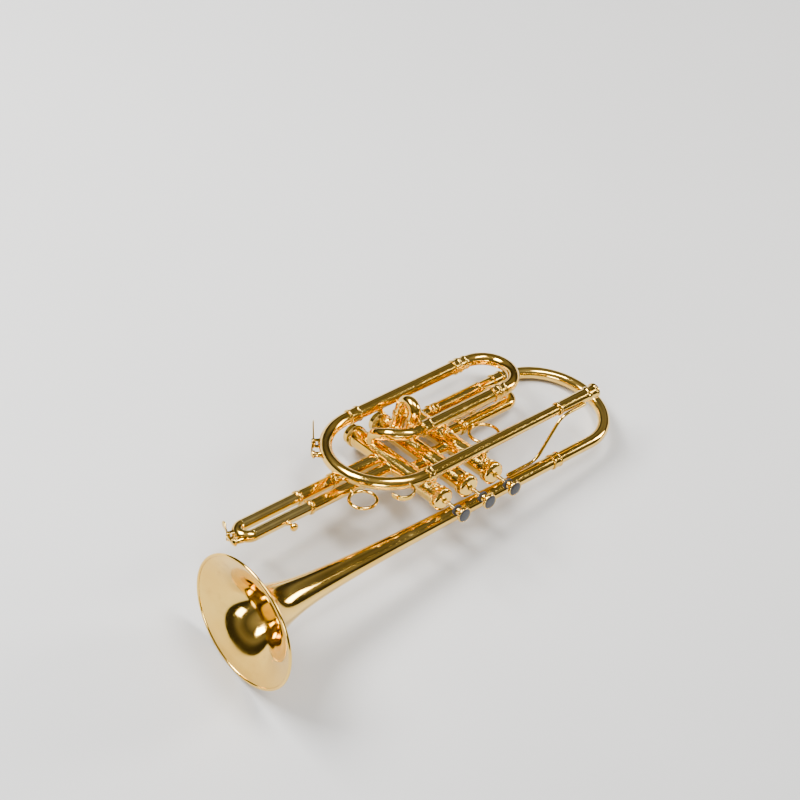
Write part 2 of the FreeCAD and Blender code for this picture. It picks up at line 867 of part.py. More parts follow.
def bell_bow_run(radius):
    """A tight bend off the bell that runs into a wide one to the tail, in the bow's leaning plane."""
    small_centre = ("bell_bow_x", f"bell_bow_small - {TAIL_HALF}", "0")
    large_centre = ("tail_bend_x", f"{TAIL_HALF} - {LARGE}", "0")
    return [
        along_x("bell_end", "bell_bow_x", f"-{TAIL_HALF}", "0", radius),
        bend(small_centre, -90, f"90 + {MEETING} / 1 deg", "bell_bow_small", radius),
        bend(large_centre, MEETING, f"90 - {MEETING} / 1 deg", LARGE, radius),
        along_x("tail_joint", "tail_bend_x", TAIL_HALF, "0", radius),
    ]


bell_bow = group([tube(bell_bow_run, "bell_bow_tube", "bell_bow_tube - 0.5")])
put(bell_bow, ("0", "(tail_y + bell_y) / 2", "bell_z / 2"))
bell_bow.setExpression("Placement.Rotation.Roll", bound(TAIL_LEAN))
part("bell_bow", group([bell_bow]))

tail = tube_x("pitch", "tail_joint", "tail_y", "0", LEG, "bore")
part("bell_tail", cut(tail, casing_body(1)))
tail_bands = [
    tube_x("tail_sleeve_start", "tail_sleeve_end", "tail_y", "0", "tail_sleeve", LEG),
    ferrule("tail_sleeve_start - 9", "tail_sleeve_start - 3", "0", LEG, LEG, "tail_y", "0"),
]
part("tail_sleeve", group(tail_bands))
BELL_TUBE = "(throat + (mouth - rim_wire - throat) * flare / (bell_end - mouth_x + flare) + 0.04)"
bell_bands = [
    ferrule("tail_joint - 6", "tail_joint + 6", "tail_joint", LEG, "bell_bow_tube", "tail_y", "0"),
    ferrule("bell_end - 5", "bell_end + 5", "bell_end", BELL_TUBE, "bell_bow_tube", "bell_y", "bell_z"),
]

# ---------------------------------------------------------------- valve slides

first_sleeves = [
    tube_x("pitch", "first_short", "first_near", "0", SLEEVE, SLEEVE_BORE),
    tube_x("pitch", "first_long", "first_far", "0", SLEEVE, SLEEVE_BORE),
]
third_sleeves = [
    tube_x("third_short", "-pitch", "third_near", "0", SLEEVE, SLEEVE_BORE),
    tube_x("third_long", "-pitch", "third_far", "0", SLEEVE, SLEEVE_BORE),
]


def second_tube(y, start, end, outer, inner):
    return tube(lambda radius: [leaning(y, start, end, radius)], outer, inner)


SECOND_LINES = ("second_near", "second_far")
second_sleeves = [second_tube(y, "0", "second_sleeve", SLEEVE, SLEEVE_BORE) for y in SECOND_LINES]
sleeves = main_sleeves + [cut(item, casing_body(1)) for item in first_sleeves]
sleeves += [cut(item, casing_body(2)) for item in second_sleeves]
sleeves += [cut(item, casing_body(3)) for item in third_sleeves]
part("slide_sleeves", group(sleeves))

END_BAND = 5.0
SECOND_BAND = ("second_sleeve - 3", "second_sleeve", f"{SLEEVE} + 0.8", SLEEVE)
bands = [
    end_band(f"first_short - {END_BAND}", "first_short", "first_near", "0"),
    end_band(f"first_long - {END_BAND}", "first_long", "first_far", "0"),
    end_band("third_short", f"third_short + {END_BAND}", "third_near", "0"),
    end_band("third_long", f"third_long + {END_BAND}", "third_far", "0"),
]
bands += [second_tube(y, *SECOND_BAND) for y in SECOND_LINES]
part("ferrules", group(main_bands + bell_bands + bands))

LEG_START = "1.5"
first_start = f"(pitch + {CASING} + {LEG_START})"
first_legs = [tube_x(first_start, "first_x", y, "0", LEG, "bore") for y in ("first_near", "first_far")]
part("first_slide_legs", group(first_legs))
FIRST_BEND = "((first_far - first_near) / 2)"
first_centre = ("first_x", "(first_far + first_near) / 2", "0")
first_crook = tube(lambda radius: [bend(first_centre, -90, "180", FIRST_BEND, radius)], LEG, "bore")
first_collars = [
    tube_x("first_short + 0.4", "first_x", "first_near", "0", SLEEVE, LEG),
    tube_x("first_long + 0.4", "first_x", "first_far", "0", SLEEVE, LEG),
]
part("first_slide_crook", first_crook)
part("first_slide_collars", group(first_collars))

third_start = f"(-pitch - {CASING} - {LEG_START})"
THIRD_BEND = "((third_far - third_near) / 2)"
third_centre = Vector(size("third_x"), size("(third_far + third_near) / 2"), 0)
third_seat, third_out = polar(third_centre, size(f"{THIRD_BEND} + {LEG}"), 168.0)
third_key = WaterKey(
    "slide_key",
    frame_at(third_seat, third_out.cross(Vector(0, 0, 1)), third_out),
    ring_solid(third_centre, size(THIRD_BEND), size(LEG)),
    spout_u=-10.0,
    spout_base=-7.0,
    thumb_u=15.0,
    thumb_w=1.0,
)
third_legs = [tube_x("third_x", third_start, y, "0", LEG, "bore") for y in ("third_near", "third_far")]
part("third_slide_legs", group(third_legs))


def third_crook_run(radius):
    return [bend(("third_x", "(third_far + third_near) / 2", "0"), 90, "180", THIRD_BEND, radius)]


part("third_slide_crook", tube(third_crook_run, LEG, "bore", [shaped(third_key.drain_hole())]))
third_key.register()
third_collars = [
    tube_x("third_collar", "third_short - 0.4", "third_near", "0", SLEEVE, LEG),
    tube_x("third_collar", "third_long - 0.4", "third_far", "0", SLEEVE, LEG),
    tube_x("third_collar - 3", "third_collar", "third_near", "0", f"{SLEEVE} + 0.9", LEG),
    tube_x("third_collar - 3", "third_collar", "third_far", "0", f"{SLEEVE} + 0.9", LEG),
]
part("third_slide_collars", group(third_collars))

second_start = f"({CASING} + {LEG_START})"
second_legs = [second_tube(y, second_start, "second_top", LEG, "bore") for y in SECOND_LINES]
part("second_slide_legs", group(second_legs))
SECOND_BEND = "((second_far - second_near) / 2)"


def second_bend(radius):
    """Half a ring standing on the ends of the leaning legs."""
    at = (
        "second_top * sin(second_lean * 1 deg)",
        "(second_far + second_near) / 2",
        "second_top * cos(second_lean * 1 deg)",
    )
    turn = LEAN.multiply(Rotation(Vector(0, 1, 0), -90)).multiply(Rotation(Vector(0, 0, 1), -90))
    return solid("Torus", at, turn, Radius1=SECOND_BEND, Radius2=radius, Angle3="180")


part("second_slide_crook", tube(lambda radius: [second_bend(radius)], LEG, "bore"))

# ---------------------------------------------------------------- rings, knob, hook and braces


def finger_loop(x, ring, leg_y, gap):
    """A wire ring with a small foot on the slide leg beside it."""
    y = f"{leg_y} - {SLEEVE} - {ring} - {gap}"
    loop_ring = solid("Torus", (x, y, "0"), Radius1=ring, Radius2="ring_wire")
    foot = along_y(x, f"{y} + {ring} - 0.4", leg_y, "0", "2.8")
    return cut([loop_ring, foot], along_x(f"{x} - 20", f"{x} + 20", leg_y, "0", SLEEVE))


part("thumb_ring", finger_loop("thumb_x", "thumb_ring", "first_near", 1.0))
part("finger_ring", finger_loop("finger_x", "finger_ring", "third_near", 2.6))


def knob():
    base = f"(third_near - {LEG})"
    outline = [
        (f"{base} + 1.4", "0"),
        (f"{base} + 1.4", "3.0"),
        (f"{base} - 0.6", "3.0"),
        (f"{base} - 1.4", "1.6"),
        (f"{base} - 5.0", "1.5"),
        (f"{base} - 6.5", "3.6"),
        (f"{base} - 8.5", "4.0"),
        (f"{base} - 10.0", "3.2"),
        (f"{base} - 10.4", "0"),
    ]
    body = turned(outline, "Y", ("knob_x", "0", "0"))
    return cut(body, along_x("knob_x - 10", "knob_x + 10", "third_near", "0", LEG))


part("pull_knob", knob())


def hook():
    """An open band for the little finger, soldered to the front of the leadpipe."""
    low, high = "lead_z - hook_band / 2", "lead_z + hook_band / 2"
    sector = {"Angle": "235"}
    turn = Rotation(Vector(0, 0, 1), 165)
    height = f"({high}) - ({low})"
    outer = solid("Cylinder", ("hook_x", "hook_y", low), turn, Radius="hook", Height=height, **sector)
    inner = along_z("hook_x", "hook_y", f"{low} - 1", f"{high} + 1", "hook - hook_thickness")
    pipe = front_bow_run("bow_tube")
    return cut(outer, [inner] + pipe)


part("finger_hook", hook())


def post(start, end, tools):
    """A turned brace between two tubes, with a flange at each end shaped to them."""
    low, high = Vector(*map(size, start)), Vector(*map(size, end))
    way = high - low
    radius, flange, thickness = size("brace"), size("flange"), size("flange_thickness")
    shape = Part.makeCylinder(radius, way.Length, low, way)
    waist = Part.makeSphere(radius * 1.35, low + way * 0.5)
    shape = shape.fuse(waist)
    for point, side in ((low, 1), (high, -1)):
        direction = way * side
        base = point - direction.normalize() * thickness * 2
        shape = shape.fuse(Part.makeCylinder(flange, thickness * 4, base, direction))
    return cut(shaped(shape), tools)


LEAD_BODY = ("lead_start - 6", "lead_end", "0", "lead_z", "bow_tube")
lead_posts = [
    post((x, "0", CASING), (x, "0", "lead_z - bow_tube"), [casing_body(number), along_x(*LEAD_BODY)])
    for number, x in VALVES.items()
    if number != 2
]
sleeve_post = post(
    ("pitch", "lower_leg", CASING),
    ("pitch", "lower_leg", f"lead_z - {SLEEVE}"),
    [casing_body(1), along_x("lower_joint", "main_sleeve_end", "lower_leg", "lead_z", SLEEVE)],
)
upper_post = post(
    ("0", "99", CASING),
    ("-3", f"loop - {SLEEVE} * 0.4", f"lead_z - {SLEEVE} * 0.9"),
    [casing_body(2), along_x("upper_joint", "main_sleeve_end", "loop", "lead_z", SLEEVE)],
)
Z_BRACE = [(150, -8.0, 22.2), (119.5, -8.8, 22.2), (90, -8.6, -15.0), (54, -8.6, -15.0)]


def bent_rod(points, radius):
    corners = [Vector(*point) for point in points]
    shape = Part.makeSphere(radius, corners[0])
    for start, end in zip(corners, corners[1:]):
        way = end - start
        shape = shape.fuse(Part.makeCylinder(radius, way.Length, start, way))
        shape = shape.fuse(Part.makeSphere(radius, end))
    return shape


z_brace = cut(
    shaped(bent_rod(Z_BRACE, size("ring_wire"))),
    [
        along_x("receiver_x", "receiver_end - 12", "0", "lead_z", "6.75"),
        along_x("tail_sleeve_start - 10", "bell_end", "bell_y", "bell_z", "6.7"),
    ],
)
part("braces", group(lead_posts + [sleeve_post, upper_post, z_brace]))

# ---------------------------------------------------------------- check and export

doc.recompute()
problems = []
for item in doc.Objects:
    if any(state in item.State for state in ("Invalid", "Error")):
        problems.append(f"{item.Label}: {item.State}")
for item in parts:
    if item.Shape.isNull() or not item.Shape.isValid():
        problems.append(f"{item.Label}: bad shape")
if problems:
    raise SystemExit("\n".join(problems))

os.makedirs("parts", exist_ok=True)
for item in parts:
    item.Shape.exportStep(f"parts/{item.Label}.step")
print(len(parts), "parts")
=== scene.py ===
import json
import math

import bmesh
import bpy
from mathutils import Matrix, Vector


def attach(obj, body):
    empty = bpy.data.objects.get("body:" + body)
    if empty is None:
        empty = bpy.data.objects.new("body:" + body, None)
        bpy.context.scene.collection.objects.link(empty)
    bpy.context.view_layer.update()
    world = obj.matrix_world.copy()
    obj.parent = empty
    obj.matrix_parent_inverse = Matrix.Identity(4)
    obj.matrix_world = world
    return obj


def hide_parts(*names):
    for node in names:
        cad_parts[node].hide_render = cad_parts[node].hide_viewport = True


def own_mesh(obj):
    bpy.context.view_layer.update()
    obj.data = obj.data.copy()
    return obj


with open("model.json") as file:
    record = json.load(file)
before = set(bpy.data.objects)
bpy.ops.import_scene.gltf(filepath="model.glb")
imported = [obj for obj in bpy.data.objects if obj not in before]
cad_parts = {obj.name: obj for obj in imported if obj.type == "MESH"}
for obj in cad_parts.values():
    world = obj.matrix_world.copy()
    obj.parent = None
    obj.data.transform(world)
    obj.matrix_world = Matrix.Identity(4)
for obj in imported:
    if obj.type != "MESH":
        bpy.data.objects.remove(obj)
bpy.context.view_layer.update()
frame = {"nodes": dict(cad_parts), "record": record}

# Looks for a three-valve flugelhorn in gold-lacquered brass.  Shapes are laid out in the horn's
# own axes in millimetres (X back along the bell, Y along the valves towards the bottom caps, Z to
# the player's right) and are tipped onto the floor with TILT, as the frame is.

TILT = (
    Matrix.Scale(0.001, 4)
    @ Matrix.Translation((33.24, -20.61, 51.71))
    @ Matrix.Rotation(math.radians(5.7), 4, "Y")
    @ Matrix.Rotation(math.radians(-19.1), 4, "X")
)

# ---------------------------------------------------------------- sizes of the frame, in mm

BORE = 5.2
LEG = 5.65
SLEEVE_BORE = 5.7
SLEEVE = 6.2
CASING = 9.6
CASING_BORE = 8.6
VALVES = {1: 31.0, 2: 0.0, 3: -31.0}
LEAD_Z = 24.5
LOOP = 108.7
LOWER = 54.0
BOW_TUBE = 6.1
FRONT_X = -42.4
LEAD_START = -38.0
LEAD_END = 141.0
RECEIVER_X = 121.0
RECEIVER_END = 171.0
UPPER_JOINT = -34.0
LOWER_JOINT = 6.0
SLEEVE_END = 97.0
CROOK_X = 105.0
BELL_Y = -15.0
BELL_Z = -20.0
MOUTH_X = -260.7
MOUTH = 64.0
RIM_WIRE = 1.5
BELL_END = 108.0
TAIL_Y = 93.5
TAIL_JOINT = 134.0
BELL_BOW_TUBE = 5.85
FIRST = (58.5, 76.5)
FIRST_ENDS = (58.0, 86.0)
FIRST_X = 115.0
SECOND = (70.5, 88.5)
SECOND_LEAN = math.radians(14.0)
SECOND_TOP = 29.0
SECOND_SLEEVE = 23.0
THIRD = (52.5, 69.5)
THIRD_ENDS = (-72.0, -94.0)
THIRD_X = -196.0
THIRD_COLLAR = -131.0

BODY_OF = {}
for body, members in frame["record"]["behaviour"]["bodies"].items():
    for member in members:
        BODY_OF[member] = body

# ---------------------------------------------------------------- materials


class Finish:
    """A procedural material, with short ways to add its nodes."""

    def __init__(self, name):
        self.material = bpy.data.materials.new(name)
        self.material.use_nodes = True
        self.tree = self.material.node_tree
        self.surface = self.tree.nodes["Principled BSDF"]
        self.place = self.add("TexCoord").outputs["Object"]

    def add(self, kind, **settings):
        node = self.tree.nodes.new("ShaderNode" + kind)
        for key, value in settings.items():
            setattr(node, key, value)
        return node

    def feed(self, socket, value):
        if isinstance(value, bpy.types.NodeSocket):
            self.tree.links.new(value, socket)
        else:
            socket.default_value = value

    def noise(self, scale, detail=3.0, stretch=(1, 1, 1), turn=(0, 0, 0)):
        mapping = self.add("Mapping")
        self.feed(mapping.inputs["Vector"], self.place)
        self.feed(mapping.inputs["Scale"], stretch)
        self.feed(mapping.inputs["Rotation"], turn)
        texture = self.add("TexNoise")
        self.feed(texture.inputs["Vector"], mapping.outputs["Vector"])
        self.feed(texture.inputs["Scale"], scale)
        self.feed(texture.inputs["Detail"], detail)
        return texture.outputs["Fac"]

    def cells(self, scale):
        texture = self.add("TexVoronoi")
        self.feed(texture.inputs["Vector"], self.place)
        self.feed(texture.inputs["Scale"], scale)
        return texture.outputs["Distance"]

    def span(self, value, low, high, to_low=0.0, to_high=1.0):
        node = self.add("MapRange")
        for name, number in (("Value", value), ("From Min", low), ("From Max", high)):
            self.feed(node.inputs[name], number)
        self.feed(node.inputs["To Min"], to_low)
        self.feed(node.inputs["To Max"], to_high)
        return node.outputs["Result"]

    def sum(self, first, second, operation="ADD"):
        node = self.add("Math", operation=operation)
        self.feed(node.inputs[0], first)
        self.feed(node.inputs[1], second)
        return node.outputs[0]

    def blend(self, factor, first, second):
        node = self.add("Mix", data_type="RGBA")
        self.feed(node.inputs["Factor"], factor)
        colours = [socket for socket in node.inputs if socket.type == "RGBA"]
        self.feed(colours[0], first if isinstance(first, bpy.types.NodeSocket) else (*first, 1.0))
        self.feed(colours[1], second if isinstance(second, bpy.types.NodeSocket) else (*second, 1.0))
        return next(socket for socket in node.outputs if socket.type == "RGBA")

    def crevice(self, distance):
        node = self.add("AmbientOcclusion", samples=6)
        self.feed(node.inputs["Distance"], distance)
        return node.outputs["AO"]

    def bump(self, height, strength, distance, under=None):
        node = self.add("Bump")
        self.feed(node.inputs["Height"], height)
        self.feed(node.inputs["Strength"], strength)
        self.feed(node.inputs["Distance"], distance)
        if under is not None:
            self.feed(node.inputs["Normal"], under)
        return node.outputs["Normal"]

    def end(self, **inputs):
        for name, value in inputs.items():
            socket = self.surface.inputs[name.replace("_", " ")]
            if isinstance(value, tuple) and len(value) == 3:
                value = (*value, 1.0)
            self.feed(socket, value)
        return self.material


def lacquered(name, light, deep, polish, scratch):
    """Brass under clear lacquer: slow colour change, hand smudges, fine scratches, painted shade and grime in
    joints.
    """
    f = Finish(name)
    slow = f.span(f.noise(22.0, 4.0), 0.35, 0.65)
    colour = f.blend(slow, light, deep)
    worn = f.span(f.noise(65.0, 6.0), 0.60, 0.74)
    colour = f.blend(f.sum(worn, 0.35, "MULTIPLY"), colour, (0.62, 0.38, 0.12))
    pits = f.span(f.cells(900.0), 0.10, 0.03)
    spots = f.sum(pits, f.span(f.noise(90.0, 2.0), 0.5, 0.7), "MULTIPLY")
    colour = f.blend(f.sum(spots, 0.5, "MULTIPLY"), colour, (0.24, 0.12, 0.04))
    # An occlusion mask: the darker colour it gives crevices and joints is painted shade, and the same mask
    # roughens the lacquer there, as grime.
    crevice_shade_and_grime = f.span(f.crevice(0.0035), 0.30, 0.75, 1.0, 0.0)
    colour = f.blend(f.sum(crevice_shade_and_grime, 0.6, "MULTIPLY"), colour, (0.20, 0.12, 0.035))
    smudge = f.span(f.noise(38.0, 5.0), 0.42, 0.72)
    fine = f.noise(500.0, 2.0)
    rough = f.sum(f.span(smudge, 0.0, 1.0, polish, polish + 0.11), f.span(fine, 0.3, 0.7, -0.01, 0.02))
    rough = f.sum(rough, f.sum(crevice_shade_and_grime, 0.35, "MULTIPLY"))
    rough = f.sum(rough, f.sum(worn, 0.14, "MULTIPLY"))
    hair_a = f.span(f.noise(90.0, 2.0, (1.0, 22.0, 22.0), (0.1, 0.0, 0.35)), 0.62, 0.70)
    hair_b = f.span(f.noise(80.0, 2.0, (24.0, 24.0, 1.2), (0.5, 0.7, 0.0)), 0.63, 0.70)
    hair = f.sum(hair_a, hair_b)
    normal = f.bump(f.noise(26.0, 2.0), 0.10, 0.0006)
    normal = f.bump(hair, scratch, 0.00003, normal)
    normal = f.bump(spots, 0.25, 0.00004, normal)
    return f.end(
        Base_Color=colour,
        Metallic=1.0,
        Roughness=rough,
        Normal=normal,
        Coat_Weight=0.55,
        Coat_Roughness=f.span(smudge, 0.0, 1.0, 0.02, 0.12),
        Coat_Tint=(1.0, 0.95, 0.80),
    )


def turned_metal(name, light, deep, polish, stretch):
    """Bare or plated metal with fine tool marks."""
    f = Finish(name)
    colour = f.blend(f.span(f.noise(45.0, 5.0), 0.35, 0.7), light, deep)
    # An occlusion mask: the darker colour it gives crevices is painted shade, and the same mask roughens the
    # metal there, as grime.
    crevice_shade_and_grime = f.span(f.crevice(0.002), 0.3, 0.8, 1.0, 0.0)
    colour = f.blend(f.sum(crevice_shade_and_grime, 0.6, "MULTIPLY"), colour, tuple(0.2 * c for c in deep))
    marks = f.noise(120.0, 3.0, stretch)
    rough = f.sum(f.span(marks, 0.3, 0.7, polish, polish + 0.12), f.sum(crevice_shade_and_grime, 0.2, "MULTIPLY"))
    normal = f.bump(marks, 0.12, 0.00004)
    return f.end(Base_Color=colour, Metallic=1.0, Roughness=rough, Normal=normal)


def fibrous(name, light, deep, scale, depth):
    """Felt or cork: grainy, matt and uneven."""
    f = Finish(name)
    grain = f.noise(scale, 8.0)
    cells = f.cells(scale * 0.8)
    colour = f.blend(f.span(f.sum(grain, cells, "MULTIPLY"), 0.05, 0.4), deep, light)
    colour = f.blend(f.span(f.noise(scale * 0.12, 3.0), 0.4, 0.8, 0.0, 0.35), colour, deep)
    normal = f.bump(f.sum(grain, cells), 0.8, depth)
    return f.end(Base_Color=colour, Roughness=f.span(grain, 0.3, 0.7, 0.75, 0.95), Normal=normal)


def moulded(name, light, deep, roughness):
    """Nylon or the polished dark discs in the finger buttons."""
    f = Finish(name)
    colour = f.blend(f.span(f.noise(60.0, 5.0), 0.3, 0.75), light, deep)
    haze = f.span(f.noise(150.0, 5.0), 0.35, 0.75, roughness, roughness + 0.14)
    hair = f.span(f.noise(130.0, 2.0, (1.0, 20.0, 20.0), (0.2, 0.4, 0.9)), 0.60, 0.70)
    normal = f.bump(f.noise(40.0, 2.0), 0.05, 0.0003)
    normal = f.bump(hair, 0.15, 0.00004, normal)
    return f.end(Base_Color=colour, Roughness=haze, Normal=normal, Coat_Weight=0.3, Coat_Roughness=0.1)


GOLD_LIGHT, GOLD_DEEP = (0.93, 0.66, 0.21), (0.84, 0.545, 0.135)
BELL_LIGHT, BELL_DEEP = (0.94, 0.67, 0.215), (0.86, 0.565, 0.145)
LEG_LIGHT, LEG_DEEP = (0.93, 0.71, 0.29), (0.85, 0.60, 0.2)
STEM_LIGHT, STEM_DEEP = (0.9, 0.7, 0.32), (0.8, 0.58, 0.22)
ALONG_TUBE, ROUND_STEM, ROUND_PISTON = (30, 1, 1), (2, 30, 2), (2, 26, 2)
FINISHES = {
    "lacquered_brass": lacquered("lacquered_brass", GOLD_LIGHT, GOLD_DEEP, 0.075, 0.30),
    "bell_brass": lacquered("bell_brass", BELL_LIGHT, BELL_DEEP, 0.045, 0.22),
    "slide_leg_brass": turned_metal("slide_leg_brass", LEG_LIGHT, LEG_DEEP, 0.09, ALONG_TUBE),
    "brass_stem": turned_metal("brass_stem", STEM_LIGHT, STEM_DEEP, 0.12, ROUND_STEM),
    "nickel_piston": turned_metal("nickel_piston", (0.78, 0.76, 0.72), (0.6, 0.58, 0.54), 0.2, ROUND_PISTON),
    "spring_steel": turned_metal("spring_steel", (0.62, 0.62, 0.62), (0.4, 0.39, 0.37), 0.22, (12, 12, 2)),
    "guide_nylon": moulded("guide_nylon", (0.82, 0.82, 0.76), (0.66, 0.65, 0.57), 0.4),
    "felt": fibrous("felt", (0.085, 0.08, 0.078), (0.02, 0.02, 0.022), 1400.0, 0.00025),
    "cork": fibrous("cork", (0.56, 0.36, 0.19), (0.26, 0.14, 0.065), 900.0, 0.0002),
    "button_inlay": moulded("button_inlay", (0.055, 0.058, 0.066), (0.025, 0.026, 0.03), 0.1),
}

# ---------------------------------------------------------------- mesh tools

X, Y, Z = Vector((1, 0, 0)), Vector((0, 1, 0)), Vector((0, 0, 1))
SHARP = math.radians(42)


def piece(name, shapes, finish, *nodes):
    """One object made of closed shapes (vertices, faces), standing for one or more CAD nodes."""
    mesh = bpy.data.meshes.new(name)
    vertices, faces = [], []
    for points, corners in shapes:
        start = len(vertices)
        vertices += [TILT @ point for point in points]
        faces += [[start + i for i in corner] for corner in corners]
    mesh.from_pydata(vertices, [], faces)
    work = bmesh.new()
    work.from_mesh(mesh)
    bmesh.ops.remove_doubles(work, verts=work.verts, dist=2e-7)
    bmesh.ops.dissolve_degenerate(work, dist=1e-7, edges=work.edges)
    bmesh.ops.recalc_face_normals(work, faces=work.faces)
    for face in work.faces:
        face.smooth = True
    work.to_mesh(mesh)
    work.free()
    mesh.set_sharp_from_angle(angle=SHARP)
    mesh.materials.append(FINISHES[finish])
    item = bpy.data.objects.new(name, mesh)
    bpy.context.scene.collection.objects.link(item)
    weighted = item.modifiers.new("weighted", "WEIGHTED_NORMAL")
    weighted.keep_sharp = True
    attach(item, BODY_OF[nodes[0]])
    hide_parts(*nodes)
    return item


def eased(outline, ease):
    """A closed outline with its corners rounded by up to ease."""
    count = len(outline)
    result = []
    for i, corner in enumerate(outline):
        before, after = Vector(outline[i - 1]), Vector(outline[(i + 1) % count])
        here = Vector(corner)
        back, on = before - here, after - here
        if here.y <= 1e-6 or back.length < 1e-6 or on.length < 1e-6:
            result.append(corner)
            continue
        reach = min(ease, 0.42 * back.length, 0.42 * on.length)
        first = here + back.normalized() * reach
        last = here + on.normalized() * reach
        for t in (0.0, 0.25, 0.5, 0.75, 1.0):
            point = first * (1 - t) ** 2 + here * 2 * t * (1 - t) + last * t * t
            result.append((point.x, point.y))
    return result


def across(direction):
    """Two unit vectors square to a direction."""
    aid = Z if abs(direction.z) < 0.9 else X
    side = direction.cross(aid).normalized()
    return side, direction.cross(side).normalized()


def lathe(outline, at, axis, steps=96, ease=0.25, knurl=None):
    """A closed outline of (along, radius) turned about an axis through a point.

    A knurl is (low, high, least radius, ridges, depth): it cuts ridges into that stretch.
    """
    axis = axis.normalized()
    side, up = across(axis)
    shape = eased(outline, ease) if ease else outline
    points, faces = [], []
    low, high, least, ridges, depth = knurl or (0, 0, 0, 0, 0)
    for along, radius in shape:
        ridged = low < along < high and radius > least
        for j in range(steps):
            angle = 2 * math.pi * j / steps
            reach = radius
            if ridged:
                reach -= depth * (0.5 - 0.5 * math.cos(ridges * angle))
            points.append(at + axis * along + (side * math.cos(angle) + up * math.sin(angle)) * reach)
    count = len(shape)
    for i in range(count):
        k = (i + 1) % count
        if shape[i][1] <= 1e-6 and shape[k][1] <= 1e-6:
            continue
        for j in range(steps):
            m = (j + 1) % steps
            faces.append((i * steps + j, i * steps + m, k * steps + m, k * steps + j))
    return points, faces


def ring_of(centre, side, up, radius, steps):
    turn = [2 * math.pi * j / steps for j in range(steps)]
    return [centre + (side * math.cos(a) + up * math.sin(a)) * radius for a in turn]


def stitched(rings, steps, loop):
    """Quads between rings of points."""
    faces = []
    count = len(rings)
    for i in range(count if loop else count - 1):
        k = (i + 1) % count
        for j in range(steps):
            m = (j + 1) % steps
            faces.append((i * steps + j, i * steps + m, k * steps + m, k * steps + j))
    return [point for ring in rings for point in ring], faces


def carried(path, closed=False):
    """Side and up vectors carried along a path without twisting."""
    count = len(path)
    frames = []
    side = None
    for i in range(count):
        after = path[(i + 1) % count] if closed or i < count - 1 else path[i]
        before = path[i - 1] if closed or i > 0 else path[i]
        way = (after - before).normalized()
        if side is None:
            side, up = across(way)
        else:
            side = (side - way * side.dot(way)).normalized()
            up = way.cross(side).normalized()
        frames.append((side, up))
    return frames


def pipe(path, outer, inner, steps=48):
    """A hollow tube along a path; each radius is a number or a list."""
    count = len(path)
    outs = outer if isinstance(outer, list) else [outer] * count
    ins = inner if isinstance(inner, list) else [inner] * count
    frames = carried(path)
    rings = [ring_of(path[i], *frames[i], outs[i], steps) for i in range(count)]
    rings += [ring_of(path[i], *frames[i], ins[i], steps) for i in reversed(range(count))]
    return stitched(rings, steps, True)


def wire(path, radius, closed=False, steps=24):
    """A solid round bar along a path, with rounded ends unless it is closed."""
    frames = carried(path, closed)
    if closed:
        return stitched([ring_of(p, *f, radius, steps) for p, f in zip(path, frames)], steps, True)
    rings = []
    for end, way in ((0, -1), (-1, 1)):
        tip = (path[end] - path[1 if end == 0 else -2]).normalized()
        caps = []
        for k in range(5):
            angle = math.radians(18 * k)
            centre = path[end] + tip * radius * math.sin(angle)
            caps.append(ring_of(centre, *frames[end], radius * math.cos(angle), steps))
        caps.append([path[end] + tip * radius] * steps)
        rings.append(caps)
    middle = [ring_of(p, *f, radius, steps) for p, f in zip(path, frames)]
    return stitched(rings[0][::-1] + middle[1:-1] + rings[1], steps, False)


def bar(path, side, widths, thicknesses, steps=32, power=3.2):
    """A flat bar with softly squared edges; side is the direction of its width."""
    rings = []
    count = len(path)
    for i, point in enumerate(path):
        way = (path[min(i + 1, count - 1)] - path[max(i - 1, 0)]).normalized()
        out = way.cross(side).normalized()
        ring = []
        for j in range(steps):
            angle = 2 * math.pi * j / steps
            c, s = math.cos(angle), math.sin(angle)
            x = widths[i] * math.copysign(abs(c) ** (2 / power), c)
            y = thicknesses[i] * math.copysign(abs(s) ** (2 / power), s)
            ring.append(point + side * x + out * y)
        rings.append(ring)
    rings.insert(0, [path[0]] * steps)
    rings.append([path[-1]] * steps)
    return stitched(rings, steps, False)


def arc(centre, start, sweep, radius, side=X, up=Y, step=4.0):
    """Points on a circle from a start angle through a sweep, in degrees."""
    count = max(2, int(math.ceil(abs(sweep) / step)))
    angles = [math.radians(start + sweep * i / count) for i in range(count + 1)]
    return [centre + (side * math.cos(a) + up * math.sin(a)) * radius for a in angles]


def smooth_path(points, first_way, last_way, per_span=10):
    """A cubic path through points, with set directions at its ends."""
    ways = []
    for i, point in enumerate(points):
        if i == 0:
            ways.append(first_way.normalized() * (points[1] - point).length)
        elif i == len(points) - 1:
            ways.append(last_way.normalized() * (point - points[i - 1]).length)
        else:
            ways.append((points[i + 1] - points[i - 1]) * 0.5)
    path = []
    for i in range(len(points) - 1):
        for k in range(per_span):
            t = k / per_span
            a, b = 2 * t**3 - 3 * t**2 + 1, t**3 - 2 * t**2 + t
            c, d = -2 * t**3 + 3 * t**2, t**3 - t**2
            path.append(points[i] * a + ways[i] * b + points[i + 1] * c + ways[i + 1] * d)
    return path + [points[-1]]


def tube_x(start, end, y, z, outer, inner, ease=0.2):
    outline = [(start, inner), (start, outer), (end, outer), (end, inner)]
    return lathe(outline, Vector((0, y, z)), X, 64, ease)


def ferrule(start, end, middle, first, second, y, z):
    """A beaded band over the joint of two tubes."""
    band = max(first, second) + 0.7
    bead = band + 0.6
    outline = [
        (start, first),
        (start, band),
        (start + 0.3, bead),
        (start + 1.7, bead),
        (start + 2.1, band),
        (end - 2.1, band),
        (end - 1.7, bead),
        (end - 0.3, bead),
        (end, band),
        (end, second),
    ]
    if first != second:
        outline += [(middle, second), (middle, first)]
    return lathe(outline, Vector((0, y, z)), X, 80, 0.45)


# ---------------------------------------------------------------- valves

